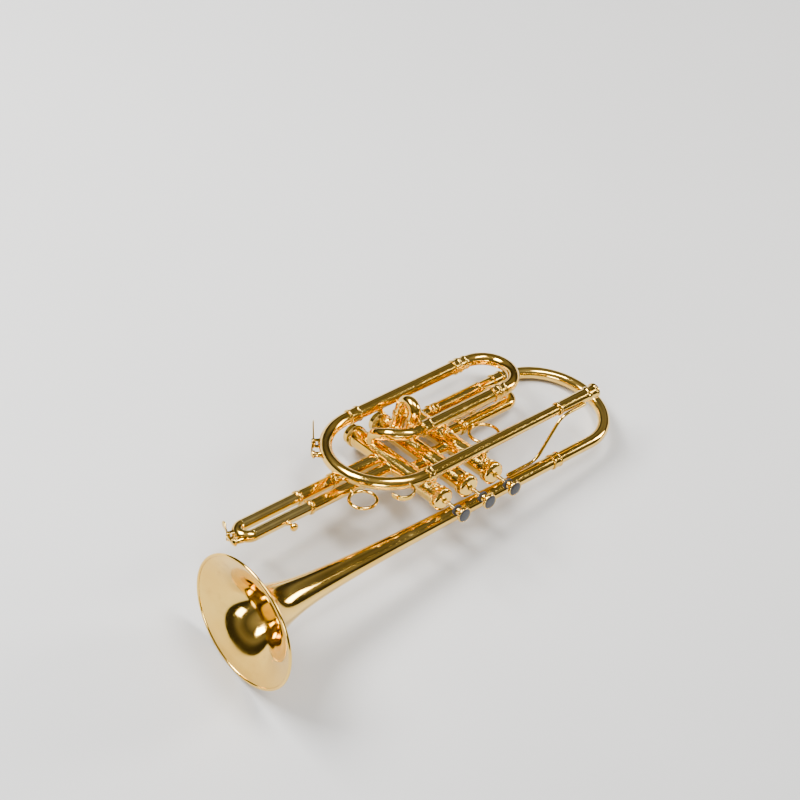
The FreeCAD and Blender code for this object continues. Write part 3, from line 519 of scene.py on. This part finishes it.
for number, x in VALVES.items():
    centre = Vector((x, 0, 0))
    walls = [(-9.0, CASING_BORE), (-9.0, CASING)]
    for groove in (2.0, 4.2, 98.6, 100.8):
        walls += [(groove - 0.35, CASING), (groove, CASING - 0.22), (groove + 0.35, CASING)]
    walls += [(109.0, CASING), (109.0, CASING_BORE)]
    casing = lathe(walls, centre, Y, 112, 0.12)
    piece(f"casing_tube_{number}", [casing], "lacquered_brass", f"valve_casing_{number}")

TOP_CAP = [
    (-15.0, 2.6),
    (-15.0, 8.0),
    (-14.7, 8.9),
    (-14.3, 9.5),
    (-13.4, 10.7),
    (-12.8, 11.0),
    (-9.6, 11.0),
    (-8.8, 10.3),
    (-7.2, 10.3),
    (-6.8, 10.8),
    (-5.6, 10.8),
    (-5.2, 10.3),
    (-5.2, CASING),
    (-9.0, CASING),
    (-9.0, 8.0),
    (-13.0, 8.0),
    (-13.0, 2.6),
]
BOTTOM_CAP = [
    (113.8, 0.0),
    (113.8, CASING_BORE),
    (109.0, CASING_BORE),
    (109.0, CASING),
    (104.5, CASING),
    (104.5, 10.2),
    (105.0, 10.6),
    (108.6, 10.6),
    (109.2, 10.1),
    (113.4, 10.1),
    (114.5, 9.5),
    (115.4, 7.8),
    (116.1, 5.0),
    (116.3, 2.6),
    (117.3, 2.6),
    (118.0, 1.8),
    (118.0, 0.0),
]
RIDGES = 60
RIDGE_DEPTH = 0.4
TOP_KNURL = (-13.1, -9.2, 10.6, RIDGES, RIDGE_DEPTH)
BOTTOM_KNURL = (104.9, 108.8, 10.3, RIDGES, RIDGE_DEPTH)


def caps(outline, knurl):
    return [lathe(outline, Vector((x, 0, 0)), Y, 6 * RIDGES, 0.3, knurl) for x in VALVES.values()]


piece("top_caps", caps(TOP_CAP, TOP_KNURL), "lacquered_brass", "top_valve_caps")
piece("bottom_caps", caps(BOTTOM_CAP, BOTTOM_KNURL), "lacquered_brass", "bottom_valve_caps")

crossings = []
for back, front, y in ((31.0, 0.0, 44.0), (0.0, -31.0, 38.0)):
    reach = math.sqrt(CASING**2 - LEG**2)
    crossings.append(tube_x(front + reach - 0.4, back - reach + 0.4, y, 0, LEG, BORE))
    for end, way in ((front + CASING - 0.6, 1), (back - CASING + 0.6, -1)):
        collar = [(0, LEG - 0.02), (0, LEG + 0.5), (0.9, LEG + 0.4), (1.5, LEG - 0.02)]
        crossings.append(lathe(collar, Vector((end, y, 0)), X * way, 64, 0.2))
piece("crossover_pipes", crossings, "lacquered_brass", "crossover_tubes")

BUTTON = [
    (-32.8, 0.0),
    (-32.8, 3.6),
    (-33.8, 3.6),
    (-35.0, 2.9),
    (-38.1, 3.4),
    (-39.0, 5.8),
    (-39.5, 7.2),
    (-40.0, 7.4),
    (-41.4, 7.4),
    (-42.0, 7.0),
    (-42.0, 6.4),
    (-41.2, 6.4),
    (-41.2, 0.0),
]
INLAY = [(-41.2, 0.0), (-41.2, 6.4), (-41.9, 6.4), (-42.3, 5.0), (-42.45, 3.0), (-42.5, 0.0)]
for number, x in VALVES.items():
    centre = Vector((x, 0, 0))
    button = lathe(BUTTON, centre, Y, 96, 0.35)
    piece(f"button_{number}", [button], "lacquered_brass", f"finger_button_{number}")
    piece(f"inlay_{number}", [lathe(INLAY, centre, Y, 96, 0.5)], "button_inlay", f"button_inlay_{number}")
    stem = [(-32.8, 0.0), (-32.8, 2.0), (-5.0, 2.0), (-5.0, 0.0)]
    piece(f"stem_{number}", [lathe(stem, centre, Y, 48, 0.2)], "brass_stem", f"valve_stem_{number}")
    felt = [(-32.8, 2.0), (-32.8, 5.0), (-32.2, 5.2), (-31.0, 5.2), (-30.4, 5.0), (-30.4, 2.0)]
    piece(f"felt_{number}", [lathe(felt, centre, Y, 72, 0.4)], "felt", f"button_felt_{number}")

INSIDES = {
    "piston_1": "nickel_piston",
    "piston_2": "nickel_piston",
    "piston_3": "nickel_piston",
    "valve_guides": "guide_nylon",
}
for name, finish in INSIDES.items():
    mesh = frame["nodes"][name].data
    mesh.materials.clear()
    mesh.materials.append(FINISHES[finish])

# Each spring stands between the piston's top and the guide.
SPRING_TOP, SPRING_FOOT = -2.95, 32.45
SPRING_TURNS = 8
for number, x in VALVES.items():
    path = []
    per_turn = 32
    for k in range(SPRING_TURNS * per_turn + 1):
        turn = k / per_turn
        climb = min(max((turn - 0.5) / (SPRING_TURNS - 1.0), 0.0), 1.0)
        angle = 2 * math.pi * turn
        y = SPRING_TOP + (SPRING_FOOT - SPRING_TOP) * climb
        path.append(Vector((x + 5.6 * math.cos(angle), y, 5.6 * math.sin(angle))))
    turns = [wire(path, 0.45, steps=12)]
    coil = piece(f"spring_{number}", turns, "spring_steel", f"valve_spring_{number}")
    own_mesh(coil)

# ---------------------------------------------------------------- leadpipe, bow and main slide

lead = [(LEAD_START, BOW_TUBE), (LEAD_END, 5.0), (LEAD_END, 4.25), (LEAD_START, 5.5)]
piece("lead_pipe", [lathe(lead, Vector((0, 0, LEAD_Z)), X, 80, 0.1)], "lacquered_brass", "leadpipe")

RECEIVER = [
    (RECEIVER_X, 5.22),
    (RECEIVER_X, 6.2),
    (RECEIVER_X + 0.5, 6.7),
    (RECEIVER_X + 2.4, 6.7),
    (RECEIVER_X + 3.2, 6.0),
    (158.0, 6.4),
    (158.8, 7.3),
    (161.4, 7.3),
    (162.2, 6.5),
    (167.8, 6.5),
    (168.4, 7.5),
    (170.5, 7.5),
    (RECEIVER_END, 7.0),
    (RECEIVER_END, 4.9),
    (147.0, 4.9),
    (147.0, 4.25),
    (LEAD_END, 4.25),
    (LEAD_END, 5.22),
]
receiver = lathe(RECEIVER, Vector((0, 0, LEAD_Z)), X, 96, 0.4)
piece("receiver", [receiver], "lacquered_brass", "mouthpiece_receiver")

bow_path = [Vector((LEAD_START, 0, LEAD_Z))]
bow_path += arc(Vector((FRONT_X, LOOP / 2, LEAD_Z)), 270, -180, LOOP / 2, step=3.0)
bow_path += [Vector((UPPER_JOINT, LOOP, LEAD_Z))]
piece("front_crook", [pipe(bow_path, BOW_TUBE, 5.5, 64)], "lacquered_brass", "front_bow")

elbow_turn = [
    Vector((-8.0, LOWER, LEAD_Z)),
    Vector((-19.5, 60.0, 24.0)),
    Vector((-27.5, 71.5, 22.0)),
    Vector((-31.0, 84.0, 13.5)),
]
elbow_path = [Vector((12.0, LOWER, LEAD_Z))]
elbow_path += smooth_path(elbow_turn, -X, -Z)
elbow_path += [Vector((-31.0, 84.0, 7.6))]
piece("elbow_pipe", [pipe(elbow_path, LEG, BORE, 56)], "lacquered_brass", "entry_elbow")

crook_path = arc(Vector((CROOK_X, (LOOP + LOWER) / 2, LEAD_Z)), -90, 180, (LOOP - LOWER) / 2, step=3.0)
piece("main_crook", [pipe(crook_path, 6.0, BORE, 64)], "lacquered_brass", "main_slide_crook")
legs = [tube_x(28.0, CROOK_X, y, LEAD_Z, LEG, BORE) for y in (LOOP, LOWER)]
piece("main_legs", legs, "slide_leg_brass", "main_slide_legs")
CROOK_BAND = [
    (97.4, LEG),
    (97.4, 6.9),
    (98.8, 6.9),
    (99.4, 6.5),
    (103.2, 6.5),
    (103.8, 6.9),
    (105.0, 6.9),
    (105.0, LEG),
]
bands = [lathe(CROOK_BAND, Vector((0, y, LEAD_Z)), X, 80, 0.35) for y in (LOOP, LOWER)]
piece("crook_bands", bands, "lacquered_brass", "main_slide_ferrules")

# ---------------------------------------------------------------- bell

BELL_LENGTH = BELL_END - MOUTH_X
FLARE = 15.0
THROAT = 3.9


def bell_radius(x):
    return THROAT + (MOUTH - RIM_WIRE - THROAT) * FLARE / (x + FLARE)


def bell_line(offset):
    """The bell's outline, moved inwards by an offset, with its points closer near the mouth."""
    line = []
    steps = 90
    for i in range(steps + 1):
        x = BELL_LENGTH * (i / steps) ** 2.4
        slope = (bell_radius(x + 0.01) - bell_radius(x)) / 0.01
        reach = math.hypot(slope, 1.0)
        line.append((x + slope * offset / reach, bell_radius(x) - offset / reach))
    return line


BELL_WALL = 0.6
bell_outline = bell_line(0.0) + bell_line(BELL_WALL)[::-1]
bell_at = Vector((MOUTH_X, BELL_Y, BELL_Z))
piece("bell_flare", [lathe(bell_outline, bell_at, X, 192, 0)], "bell_brass", "bell")
rim_path = arc(bell_at, 0, 360, MOUTH - RIM_WIRE, Y, Z, 1.875)[:-1]
piece("rim_bead", [wire(rim_path, RIM_WIRE, True, 28)], "bell_brass", "bell_rim")

tail_half = math.hypot((TAIL_Y - BELL_Y) / 2, BELL_Z / 2)
small_radius, small_x, large_x = 44.5, 154.6, 136.0
step_x = small_x - large_x
gap = small_radius - 2 * tail_half
large_radius = (small_radius**2 - step_x**2 - gap**2) / (2 * gap + 2 * small_radius)
meeting = math.degrees(math.atan((gap + large_radius) / step_x))
bow_lean = Vector((0, TAIL_Y - BELL_Y, -BELL_Z)).normalized()
bow_middle = Vector((0, (TAIL_Y + BELL_Y) / 2, BELL_Z / 2))
small_centre = bow_middle + X * small_x + bow_lean * (small_radius - tail_half)
large_centre = bow_middle + X * large_x + bow_lean * (tail_half - large_radius)
run = [bow_middle + X * BELL_END - bow_lean * tail_half]
run += arc(small_centre, -90, 90 + meeting, small_radius, X, bow_lean, 2.5)
run += arc(large_centre, meeting, 90 - meeting, large_radius, X, bow_lean, 2.5)[1:]
run += [bow_middle + X * TAIL_JOINT + bow_lean * tail_half]
piece("rear_bow", [pipe(run, BELL_BOW_TUBE, BELL_BOW_TUBE - 0.5, 64)], "bell_brass", "bell_bow")
tail = tube_x(31.0 + CASING - 0.3, TAIL_JOINT, TAIL_Y, 0, LEG, BORE)
piece("tail_pipe", [tail], "lacquered_brass", "bell_tail")
TAIL_OUTLINE = [
    (56.0, LEG),
    (56.0, 6.6),
    (57.6, 6.6),
    (58.0, 6.35),
    (109.0, 6.35),
    (109.4, 6.6),
    (111.0, 6.6),
    (111.0, LEG),
]
tail_bands = [
    lathe(TAIL_OUTLINE, Vector((0, TAIL_Y, 0)), X, 80, 0.3),
    ferrule(47.0, 53.0, 50.0, LEG, LEG, TAIL_Y, 0),
]
piece("tail_cover", tail_bands, "lacquered_brass", "tail_sleeve")

# ---------------------------------------------------------------- valve slides

LEAN = Vector((math.sin(SECOND_LEAN), 0, math.cos(SECOND_LEAN)))


def sleeve(start, end, at, axis):
    outline = [(start, SLEEVE_BORE), (start, SLEEVE), (end, SLEEVE), (end, SLEEVE_BORE)]
    return lathe(outline, at, axis, 64, 0.15)


def clear_of(tube_radius):
    """How far from a casing's axis a tube of this radius meets the casing's wall."""
    return math.sqrt(CASING**2 - tube_radius**2)


def foot_ring(at, axis):
    """The small solder collar where a tube leaves a casing."""
    ring = [(CASING - 1.6, SLEEVE - 0.02), (CASING - 1.6, SLEEVE + 0.7), (CASING + 0.5, SLEEVE + 0.45)]
    ring += [(CASING + 1.0, SLEEVE - 0.02)]
    return lathe(ring, at, axis, 64, 0.2)


sleeves = [
    sleeve(UPPER_JOINT, SLEEVE_END, Vector((0, LOOP, LEAD_Z)), X),
    sleeve(LOWER_JOINT, SLEEVE_END, Vector((0, LOWER, LEAD_Z)), X),
]
start = clear_of(SLEEVE) - 0.3
for y, end in zip(FIRST, FIRST_ENDS):
    sleeves.append(sleeve(31.0 + start, end, Vector((0, y, 0)), X))
    sleeves.append(foot_ring(Vector((31, y, 0)), X))
for y, end in zip(THIRD, THIRD_ENDS):
    sleeves.append(sleeve(31.0 + start, -end, Vector((0, y, 0)), -X))
    sleeves.append(foot_ring(Vector((-31, y, 0)), -X))
for y in SECOND:
    sleeves.append(sleeve(start, SECOND_SLEEVE, Vector((0, y, 0)), LEAN))
    sleeves.append(foot_ring(Vector((0, y, 0)), LEAN))
piece("outer_sleeves", sleeves, "lacquered_brass", "slide_sleeves")


def end_band(start, end, y, z):
    return ferrule(start, end, start, SLEEVE, SLEEVE, y, z)


bell_tube = bell_radius(BELL_LENGTH)
bands = [
    end_band(SLEEVE_END - 8, SLEEVE_END, LOOP, LEAD_Z),
    end_band(SLEEVE_END - 8, SLEEVE_END, LOWER, LEAD_Z),
    ferrule(LOWER_JOINT - 5, LOWER_JOINT + 6, LOWER_JOINT, LEG, SLEEVE, LOWER, LEAD_Z),
    ferrule(UPPER_JOINT - 6, UPPER_JOINT + 6, UPPER_JOINT, BOW_TUBE, SLEEVE, LOOP, LEAD_Z),
    ferrule(FRONT_X, LEAD_START + 2.6, LEAD_START, BOW_TUBE, BOW_TUBE, 0, LEAD_Z),
    ferrule(TAIL_JOINT - 6, TAIL_JOINT + 6, TAIL_JOINT, LEG, BELL_BOW_TUBE, TAIL_Y, 0),
    ferrule(BELL_END - 5, BELL_END + 5, BELL_END, bell_tube, BELL_BOW_TUBE, BELL_Y, BELL_Z),
    end_band(FIRST_ENDS[0] - 5, FIRST_ENDS[0], FIRST[0], 0),
    end_band(FIRST_ENDS[1] - 5, FIRST_ENDS[1], FIRST[1], 0),
    end_band(THIRD_ENDS[0], THIRD_ENDS[0] + 5, THIRD[0], 0),
    end_band(THIRD_ENDS[1], THIRD_ENDS[1] + 5, THIRD[1], 0),
]
for y in SECOND:
    band = [(20.0, SLEEVE), (20.0, 6.9), (20.9, 7.0), (21.5, 6.75)]
    band += [(22.1, 7.0), (23.0, 6.9), (23.0, SLEEVE)]
    bands.append(lathe(band, Vector((0, y, 0)), LEAN, 72, 0.3))
piece("joint_bands", bands, "lacquered_brass", "ferrules")

leg_start = CASING + 1.5
first_legs = [tube_x(31.0 + leg_start, FIRST_X, y, 0, LEG, BORE) for y in FIRST]
piece("first_legs", first_legs, "slide_leg_brass", "first_slide_legs")
bend = arc(Vector((FIRST_X, sum(FIRST) / 2, 0)), -90, 180, (FIRST[1] - FIRST[0]) / 2, step=5.0)
piece("first_crook", [pipe(bend, LEG, BORE, 56)], "lacquered_brass", "first_slide_crook")


def collar(start, end, y):
    """The slide's own sleeve over its leg, with a bead at each end."""
    way = 1 if end > start else -1
    outline = [(start, LEG), (start, SLEEVE), (start + way * 0.8, SLEEVE), (start + way * 1.4, SLEEVE - 0.15)]
    outline += [(end - way * 1.4, SLEEVE - 0.15), (end - way * 0.8, SLEEVE), (end, SLEEVE), (end, LEG)]
    return lathe(outline, Vector((0, y, 0)), X, 72, 0.25)


collars = [collar(end + 0.4, FIRST_X, y) for y, end in zip(FIRST, FIRST_ENDS)]
piece("first_collars", collars, "lacquered_brass", "first_slide_collars")

third_legs = [tube_x(THIRD_X, -31.0 - leg_start, y, 0, LEG, BORE) for y in THIRD]
piece("third_legs", third_legs, "slide_leg_brass", "third_slide_legs")
third_middle = Vector((THIRD_X, sum(THIRD) / 2, 0))
THIRD_BEND = (THIRD[1] - THIRD[0]) / 2
bend = arc(third_middle, 90, 180, THIRD_BEND, step=5.0)
piece("third_crook", [pipe(bend, LEG, BORE, 56)], "lacquered_brass", "third_slide_crook")
collars = [collar(THIRD_COLLAR, end - 0.4, y) for y, end in zip(THIRD, THIRD_ENDS)]
for y in THIRD:
    bead = [(-3.0, LEG), (-3.0, 6.7), (-2.2, 7.1), (-1.5, 6.8), (-0.8, 7.1), (0.0, 6.7), (0.0, LEG)]
    collars.append(lathe(bead, Vector((THIRD_COLLAR, y, 0)), X, 72, 0.3))
piece("third_collars", collars, "lacquered_brass", "third_slide_collars")

second_legs = []
for y in SECOND:
    outline = [(leg_start, BORE), (leg_start, LEG), (SECOND_TOP, LEG), (SECOND_TOP, BORE)]
    second_legs.append(lathe(outline, Vector((0, y, 0)), LEAN, 64, 0.15))
piece("second_legs", second_legs, "slide_leg_brass", "second_slide_legs")
middle = LEAN * SECOND_TOP + Y * sum(SECOND) / 2
bend = arc(middle, 0, 180, (SECOND[1] - SECOND[0]) / 2, Y, LEAN, 5.0)
piece("second_crook", [pipe(bend, LEG, BORE, 56)], "lacquered_brass", "second_slide_crook")

# ---------------------------------------------------------------- rings, knob, hook


def finger_loop(x, ring, leg_y, gap):
    """A wire ring on a turned foot that flares onto the slide's tube."""
    centre = Vector((x, leg_y - SLEEVE - ring - gap, 0))
    loop = wire(arc(centre, 0, 360, ring, step=4.0)[:-1], 1.6, True)
    inner = centre.y + ring - 0.4
    reach = leg_y - 5.7 - inner
    outline = [(0, 0), (0, 2.0), (0.35 * reach, 2.15), (0.7 * reach, 2.5), (reach, 2.8), (reach, 0)]
    return [loop, lathe(outline, Vector((x, inner, 0)), Y, 48, 0.3)]


piece("thumb_loop", finger_loop(66.0, 14.0, FIRST[0], 1.0), "lacquered_brass", "thumb_ring")
piece("finger_loop", finger_loop(-88.0, 12.6, THIRD[0], 2.6), "lacquered_brass", "finger_ring")

knob_y = THIRD[0] - LEG
KNOB = [
    (0.6, 0.0),
    (0.6, 3.0),
    (-0.6, 3.0),
    (-1.0, 2.2),
    (-1.6, 1.6),
    (-4.8, 1.5),
    (-5.6, 2.2),
    (-6.5, 3.6),
    (-7.5, 4.0),
    (-8.6, 3.9),
    (-9.6, 3.4),
    (-10.2, 2.0),
    (-10.4, 0.0),
]
piece("knob", [lathe(KNOB, Vector((-161.0, knob_y, 0)), Y, 64, 0.4)], "lacquered_brass", "pull_knob")

hook_at = Vector((-73.0, -4.0, LEAD_Z))
hook_line = arc(hook_at, 165, 226, 10.5, step=3.0)
count = len(hook_line)
hook_width = [2.5 * min(1.0, 0.45 + 0.18 * min(i, count - 1 - i)) for i in range(count)]
hook_thick = [1.0 * min(1.0, 0.5 + 0.25 * min(i, count - 1 - i)) for i in range(count)]
piece("hook_band", [bar(hook_line, Z, hook_width, hook_thick)], "lacquered_brass", "finger_hook")

# ---------------------------------------------------------------- braces

POST = [(0.0, 0.0), (0.0, 4.0), (0.9, 3.9), (1.5, 2.6), (2.3, 1.75)]
WAIST = [(-2.6, 1.6), (-1.9, 1.7), (-1.2, 2.15), (0.0, 2.3), (1.2, 2.15), (1.9, 1.7), (2.6, 1.6)]


def post(low, high, low_foot, high_foot, spread=1.0):
    """A turned brace: a dished foot at each end and a ball at the waist."""
    way = high - low
    length = way.length
    outline = [(along - low_foot, min(radius, 4.0 * spread)) for along, radius in POST]
    middle = length / 2
    for step, radius in WAIST:
        if abs(step) < middle - 2.6:
            outline.append((middle + step, radius))
    outline += [(length + high_foot - along, radius) for along, radius in reversed(POST)]
    return lathe(outline, low, way, 56, 0.4)


braces = [post(Vector((x, 0, CASING)), Vector((x, 0, LEAD_Z - BOW_TUBE)), 0.8, 0.9) for x in (31.0, -31.0)]
braces.append(post(Vector((31, LOWER, CASING)), Vector((31, LOWER, LEAD_Z - SLEEVE)), 0.8, 0.9))
upper = Vector((-3, LOOP - 0.4 * SLEEVE, LEAD_Z - 0.9 * SLEEVE))
braces.append(post(Vector((0, 99, CASING)), upper, -0.9, 0.6, 0.42))
foot = [(-0.85, 0.0), (-0.85, 3.9), (0.1, 3.9), (0.8, 3.2), (1.5, 2.2), (2.0, 1.4), (2.0, 0.0)]
braces.append(lathe(foot, Vector((0, 99, CASING)), Z, 56, 0.3))

ROD_CORNERS = ((150, -8.0, 22.2), (119.5, -8.8, 22.2), (90, -8.6, -15.0), (54, -8.6, -15.0))
ROD_BEND = 9.0
corners = [Vector(corner) for corner in ROD_CORNERS]
path = [corners[0]]
for i in (1, 2):
    back = (corners[i - 1] - corners[i]).normalized() * ROD_BEND
    on = (corners[i + 1] - corners[i]).normalized() * ROD_BEND
    for k in range(11):
        t = k / 10
        path.append(corners[i] + back * (1 - t) ** 2 + on * t**2)
path.append(corners[3])
braces.append(wire(path, 1.6, steps=32))
piece("brace_set", braces, "lacquered_brass", "braces")

# ---------------------------------------------------------------- water keys


class WaterKey:
    """Lever, saddle, spring and cork, drawn along u (lever), v (pin) and w (away from the tube)."""

    PIN_W = 4.6

    def __init__(self, name, seat, out, u, spout_u, spout_base, thumb_u, thumb_w):
        self.name = name
        self.seat = seat
        self.u, self.w = u, out
        self.v = out.cross(u)
        self.spout_u, self.spout_base = spout_u, spout_base
        self.thumb_u, self.thumb_w = thumb_u, thumb_w

    def at(self, u, v, w):
        return self.seat + self.u * u + self.v * v + self.w * w

    def mount(self):
        arch = ((-3.6, -1.9), (-1.8, -0.5), (0, 0.1), (1.8, -0.5), (3.6, -1.9))
        saddle = [self.at(u, 0, w) for u, w in arch]
        shapes = [bar(saddle, self.v, [3.6, 4.0, 4.2, 4.0, 3.6], [0.7, 0.9, 0.9, 0.9, 0.7])]
        for side in (-1, 1):
            ear = [(0.0, 0.0), (0.0, 2.0), (1.3, 2.0), (1.3, 0.0)]
            shapes.append(lathe(ear, self.at(0, side * 2.9, self.PIN_W), self.v * side, 48, 0.35))
            web = [self.at(0, side * 3.55, w) for w in (-0.4, 1.5, 3.0, 4.4)]
            shapes.append(bar(web, self.u, [2.6, 2.1, 1.9, 1.8], [0.62] * 4))
        pin = [(-4.5, 0.0), (-4.5, 1.0), (-4.25, 1.25), (-4.15, 0.85)]
        pin += [(-along, radius) for along, radius in reversed(pin)]
        shapes.append(lathe(pin, self.at(0, 0, self.PIN_W), self.v, 32, 0.1))
        base = self.spout_base + 2.6
        spout = [(base, 1.4), (base, 3.1), (-0.6, 2.6), (1.4, 2.6), (2.0, 2.1), (2.0, 1.4)]
        shapes.append(lathe(spout, self.at(self.spout_u, 0, 0), self.w, 48, 0.25))
        return shapes

    def lever(self):
        """Rows are (u, w, half width, half thickness), from the cup over the pin to the thumb plate."""
        s, t, h = self.spout_u, self.thumb_u, self.thumb_w
        drop = h - self.PIN_W
        rows = [
            (s - 1.2, 5.1, 1.2, 0.5),
            (s, 5.4, 1.7, 0.8),
            (0.55 * s, 5.6, 1.5, 0.95),
            (0.2 * s, 5.3, 1.9, 1.1),
            (0.0, 5.0, 2.2, 1.2),
            (0.15 * t, self.PIN_W + 0.15 * drop, 1.8, 1.0),
            (0.45 * t, self.PIN_W + 0.45 * drop, 1.5, 0.9),
            (0.72 * t, self.PIN_W + 0.72 * drop, 2.4, 0.85),
            (t - 2.2, h - 0.1, 4.0, 0.85),
            (t, h, 4.4, 0.85),
            (t + 2.4, h, 3.6, 0.75),
            (t + 3.9, h, 1.7, 0.5),
        ]
        path = [self.at(u, 0, w) for u, w, _, _ in rows]
        shapes = [bar(path, self.v, [row[2] for row in rows], [row[3] for row in rows], power=2.6)]
        cup = [(3.02, 0.0), (3.02, 3.1), (2.7, 3.2), (2.7, 3.7), (3.4, 3.8)]
        cup += [(4.4, 3.6), (5.4, 2.4), (6.0, 1.6), (6.0, 0.0)]
        shapes.append(lathe(cup, self.at(s, 0, 0), self.w, 56, 0.3))
        knuckle = [(-1.35, 0.92), (-1.35, 2.1), (1.35, 2.1), (1.35, 0.92)]
        shapes.append(lathe(knuckle, self.at(0, 0, self.PIN_W), self.v, 48, 0.35))
        return shapes

    def cork(self):
        pad = [(2.0, 0.0), (2.0, 2.8), (2.3, 3.0), (3.0, 3.0), (3.0, 0.0)]
        return [lathe(pad, self.at(self.spout_u, 0, 0), self.w, 48, 0.3)]

    def spring(self):
        path = []
        for k in range(49):
            turn = 2 * math.pi * 1.5 * k / 48
            centre = self.at(0, 1.75 + 0.6 * k / 48, self.PIN_W)
            path.append(centre + (self.u * math.cos(turn) + self.w * math.sin(turn)) * 1.45)
        return [wire(path, 0.25, steps=12)]

    def build(self):
        piece(f"{self.name}_saddle", self.mount(), "lacquered_brass", f"{self.name}_mount")
        piece(f"{self.name}_arm", self.lever(), "lacquered_brass", f"{self.name}_lever")
        piece(f"{self.name}_pad", self.cork(), "cork", f"{self.name}_cork")
        piece(f"{self.name}_coil", self.spring(), "spring_steel", f"{self.name}_spring")


def seat_on(centre, radius, angle):
    out = Vector((math.cos(math.radians(angle)), math.sin(math.radians(angle)), 0))
    return centre + out * radius, out


seat, out = seat_on(Vector((FRONT_X, LOOP / 2, LEAD_Z)), LOOP / 2 + BOW_TUBE, 137.0)
WaterKey("bow_key", seat, out, -Z.cross(out), -17.0, -6.0, 28.0, 6.5).build()
seat, out = seat_on(third_middle, THIRD_BEND + LEG, 168.0)
WaterKey("slide_key", seat, out, out.cross(Z), -10.0, -7.0, 15.0, 1.0).build()

# ---------------------------------------------------------------- floor, light and camera

floor_mesh = bpy.data.meshes.new("floor")
HALF = 6.0
floor_corners = [(-HALF, -HALF, 0), (HALF, -HALF, 0), (HALF, HALF, 0), (-HALF, HALF, 0)]
floor_mesh.from_pydata(floor_corners, [], [(0, 1, 2, 3)])
floor = bpy.data.objects.new("floor", floor_mesh)
bpy.context.scene.collection.objects.link(floor)
f = Finish("floor_paper")
paper = f.blend(f.noise(3.0, 3.0), (0.62, 0.615, 0.605), (0.67, 0.665, 0.655))
grain = f.bump(f.noise(350.0), 0.05, 0.0004)
floor_mesh.materials.append(f.end(Base_Color=paper, Roughness=0.85, Normal=grain))


def softbox(name, at, aim, width, height, power, colour=(1.0, 1.0, 1.0)):
    light = bpy.data.lights.new(name, "AREA")
    light.shape = "RECTANGLE"
    light.size, light.size_y = width, height
    light.energy = power
    light.color = colour
    item = bpy.data.objects.new(name, light)
    item.location = at
    item.rotation_euler = (Vector(aim) - Vector(at)).to_track_quat("-Z", "Y").to_euler()
    bpy.context.scene.collection.objects.link(item)


softbox("key", (-0.7, 1.1, 1.5), (0, 0, 0.05), 1.1, 0.6, 50.0)
softbox("top", (0.3, 0.1, 1.9), (0, 0, 0.05), 0.9, 0.35, 22.0)
softbox("side", (1.7, -0.6, 0.9), (0, 0, 0.05), 0.5, 0.9, 18.0, (1.0, 0.97, 0.92))
softbox("front", (-1.5, -1.2, 0.8), (0, 0, 0.05), 0.7, 0.5, 12.0, (0.93, 0.96, 1.0))

world = bpy.data.worlds.new("studio")
world.use_nodes = True
tree = world.node_tree
place = tree.nodes.new("ShaderNodeTexCoord")
split = tree.nodes.new("ShaderNodeSeparateXYZ")
ramp = tree.nodes.new("ShaderNodeValToRGB")
tree.links.new(place.outputs["Generated"], split.inputs[0])
tree.links.new(split.outputs["Z"], ramp.inputs[0])
tree.links.new(ramp.outputs[0], tree.nodes["Background"].inputs["Color"])
ramp.color_ramp.elements[0].position = 0.0
ramp.color_ramp.elements[0].color = (0.10, 0.10, 0.10, 1)
ramp.color_ramp.elements[1].position = 1.0
ramp.color_ramp.elements[1].color = (0.95, 0.95, 0.97, 1)
for spot, grey in ((0.25, 0.14), (0.45, 0.55), (0.7, 0.25)):
    stop = ramp.color_ramp.elements.new(spot)
    stop.color = (grey, grey, grey, 1)
tree.nodes["Background"].inputs["Strength"].default_value = 0.45
bpy.context.scene.world = world
bpy.context.scene.view_settings.look = "AgX - Medium High Contrast"

# Where the viewer stands, and which ways are right and down in the view, in the horn's own axes.
EYE = Vector((-1291.7, -1288.9, 1401.0))
RIGHT = Vector((0.7495, -0.6604, 0.0454))
DOWN = Vector((-0.3596, -0.4638, -0.8097))
camera_data = bpy.data.cameras.new("camera")
camera_data.lens = 114.2
camera_data.sensor_width = 36.0
camera_data.clip_end = 20.0
camera = bpy.data.objects.new("camera", camera_data)
bpy.context.scene.collection.objects.link(camera)
turn = TILT.to_3x3().normalized()
right, up = (turn @ RIGHT).normalized(), (turn @ -DOWN).normalized()
back = right.cross(up)
columns = Matrix((right, up, back)).transposed().to_4x4()
camera.matrix_world = Matrix.Translation(TILT @ EYE) @ columns
bpy.context.scene.camera = camera
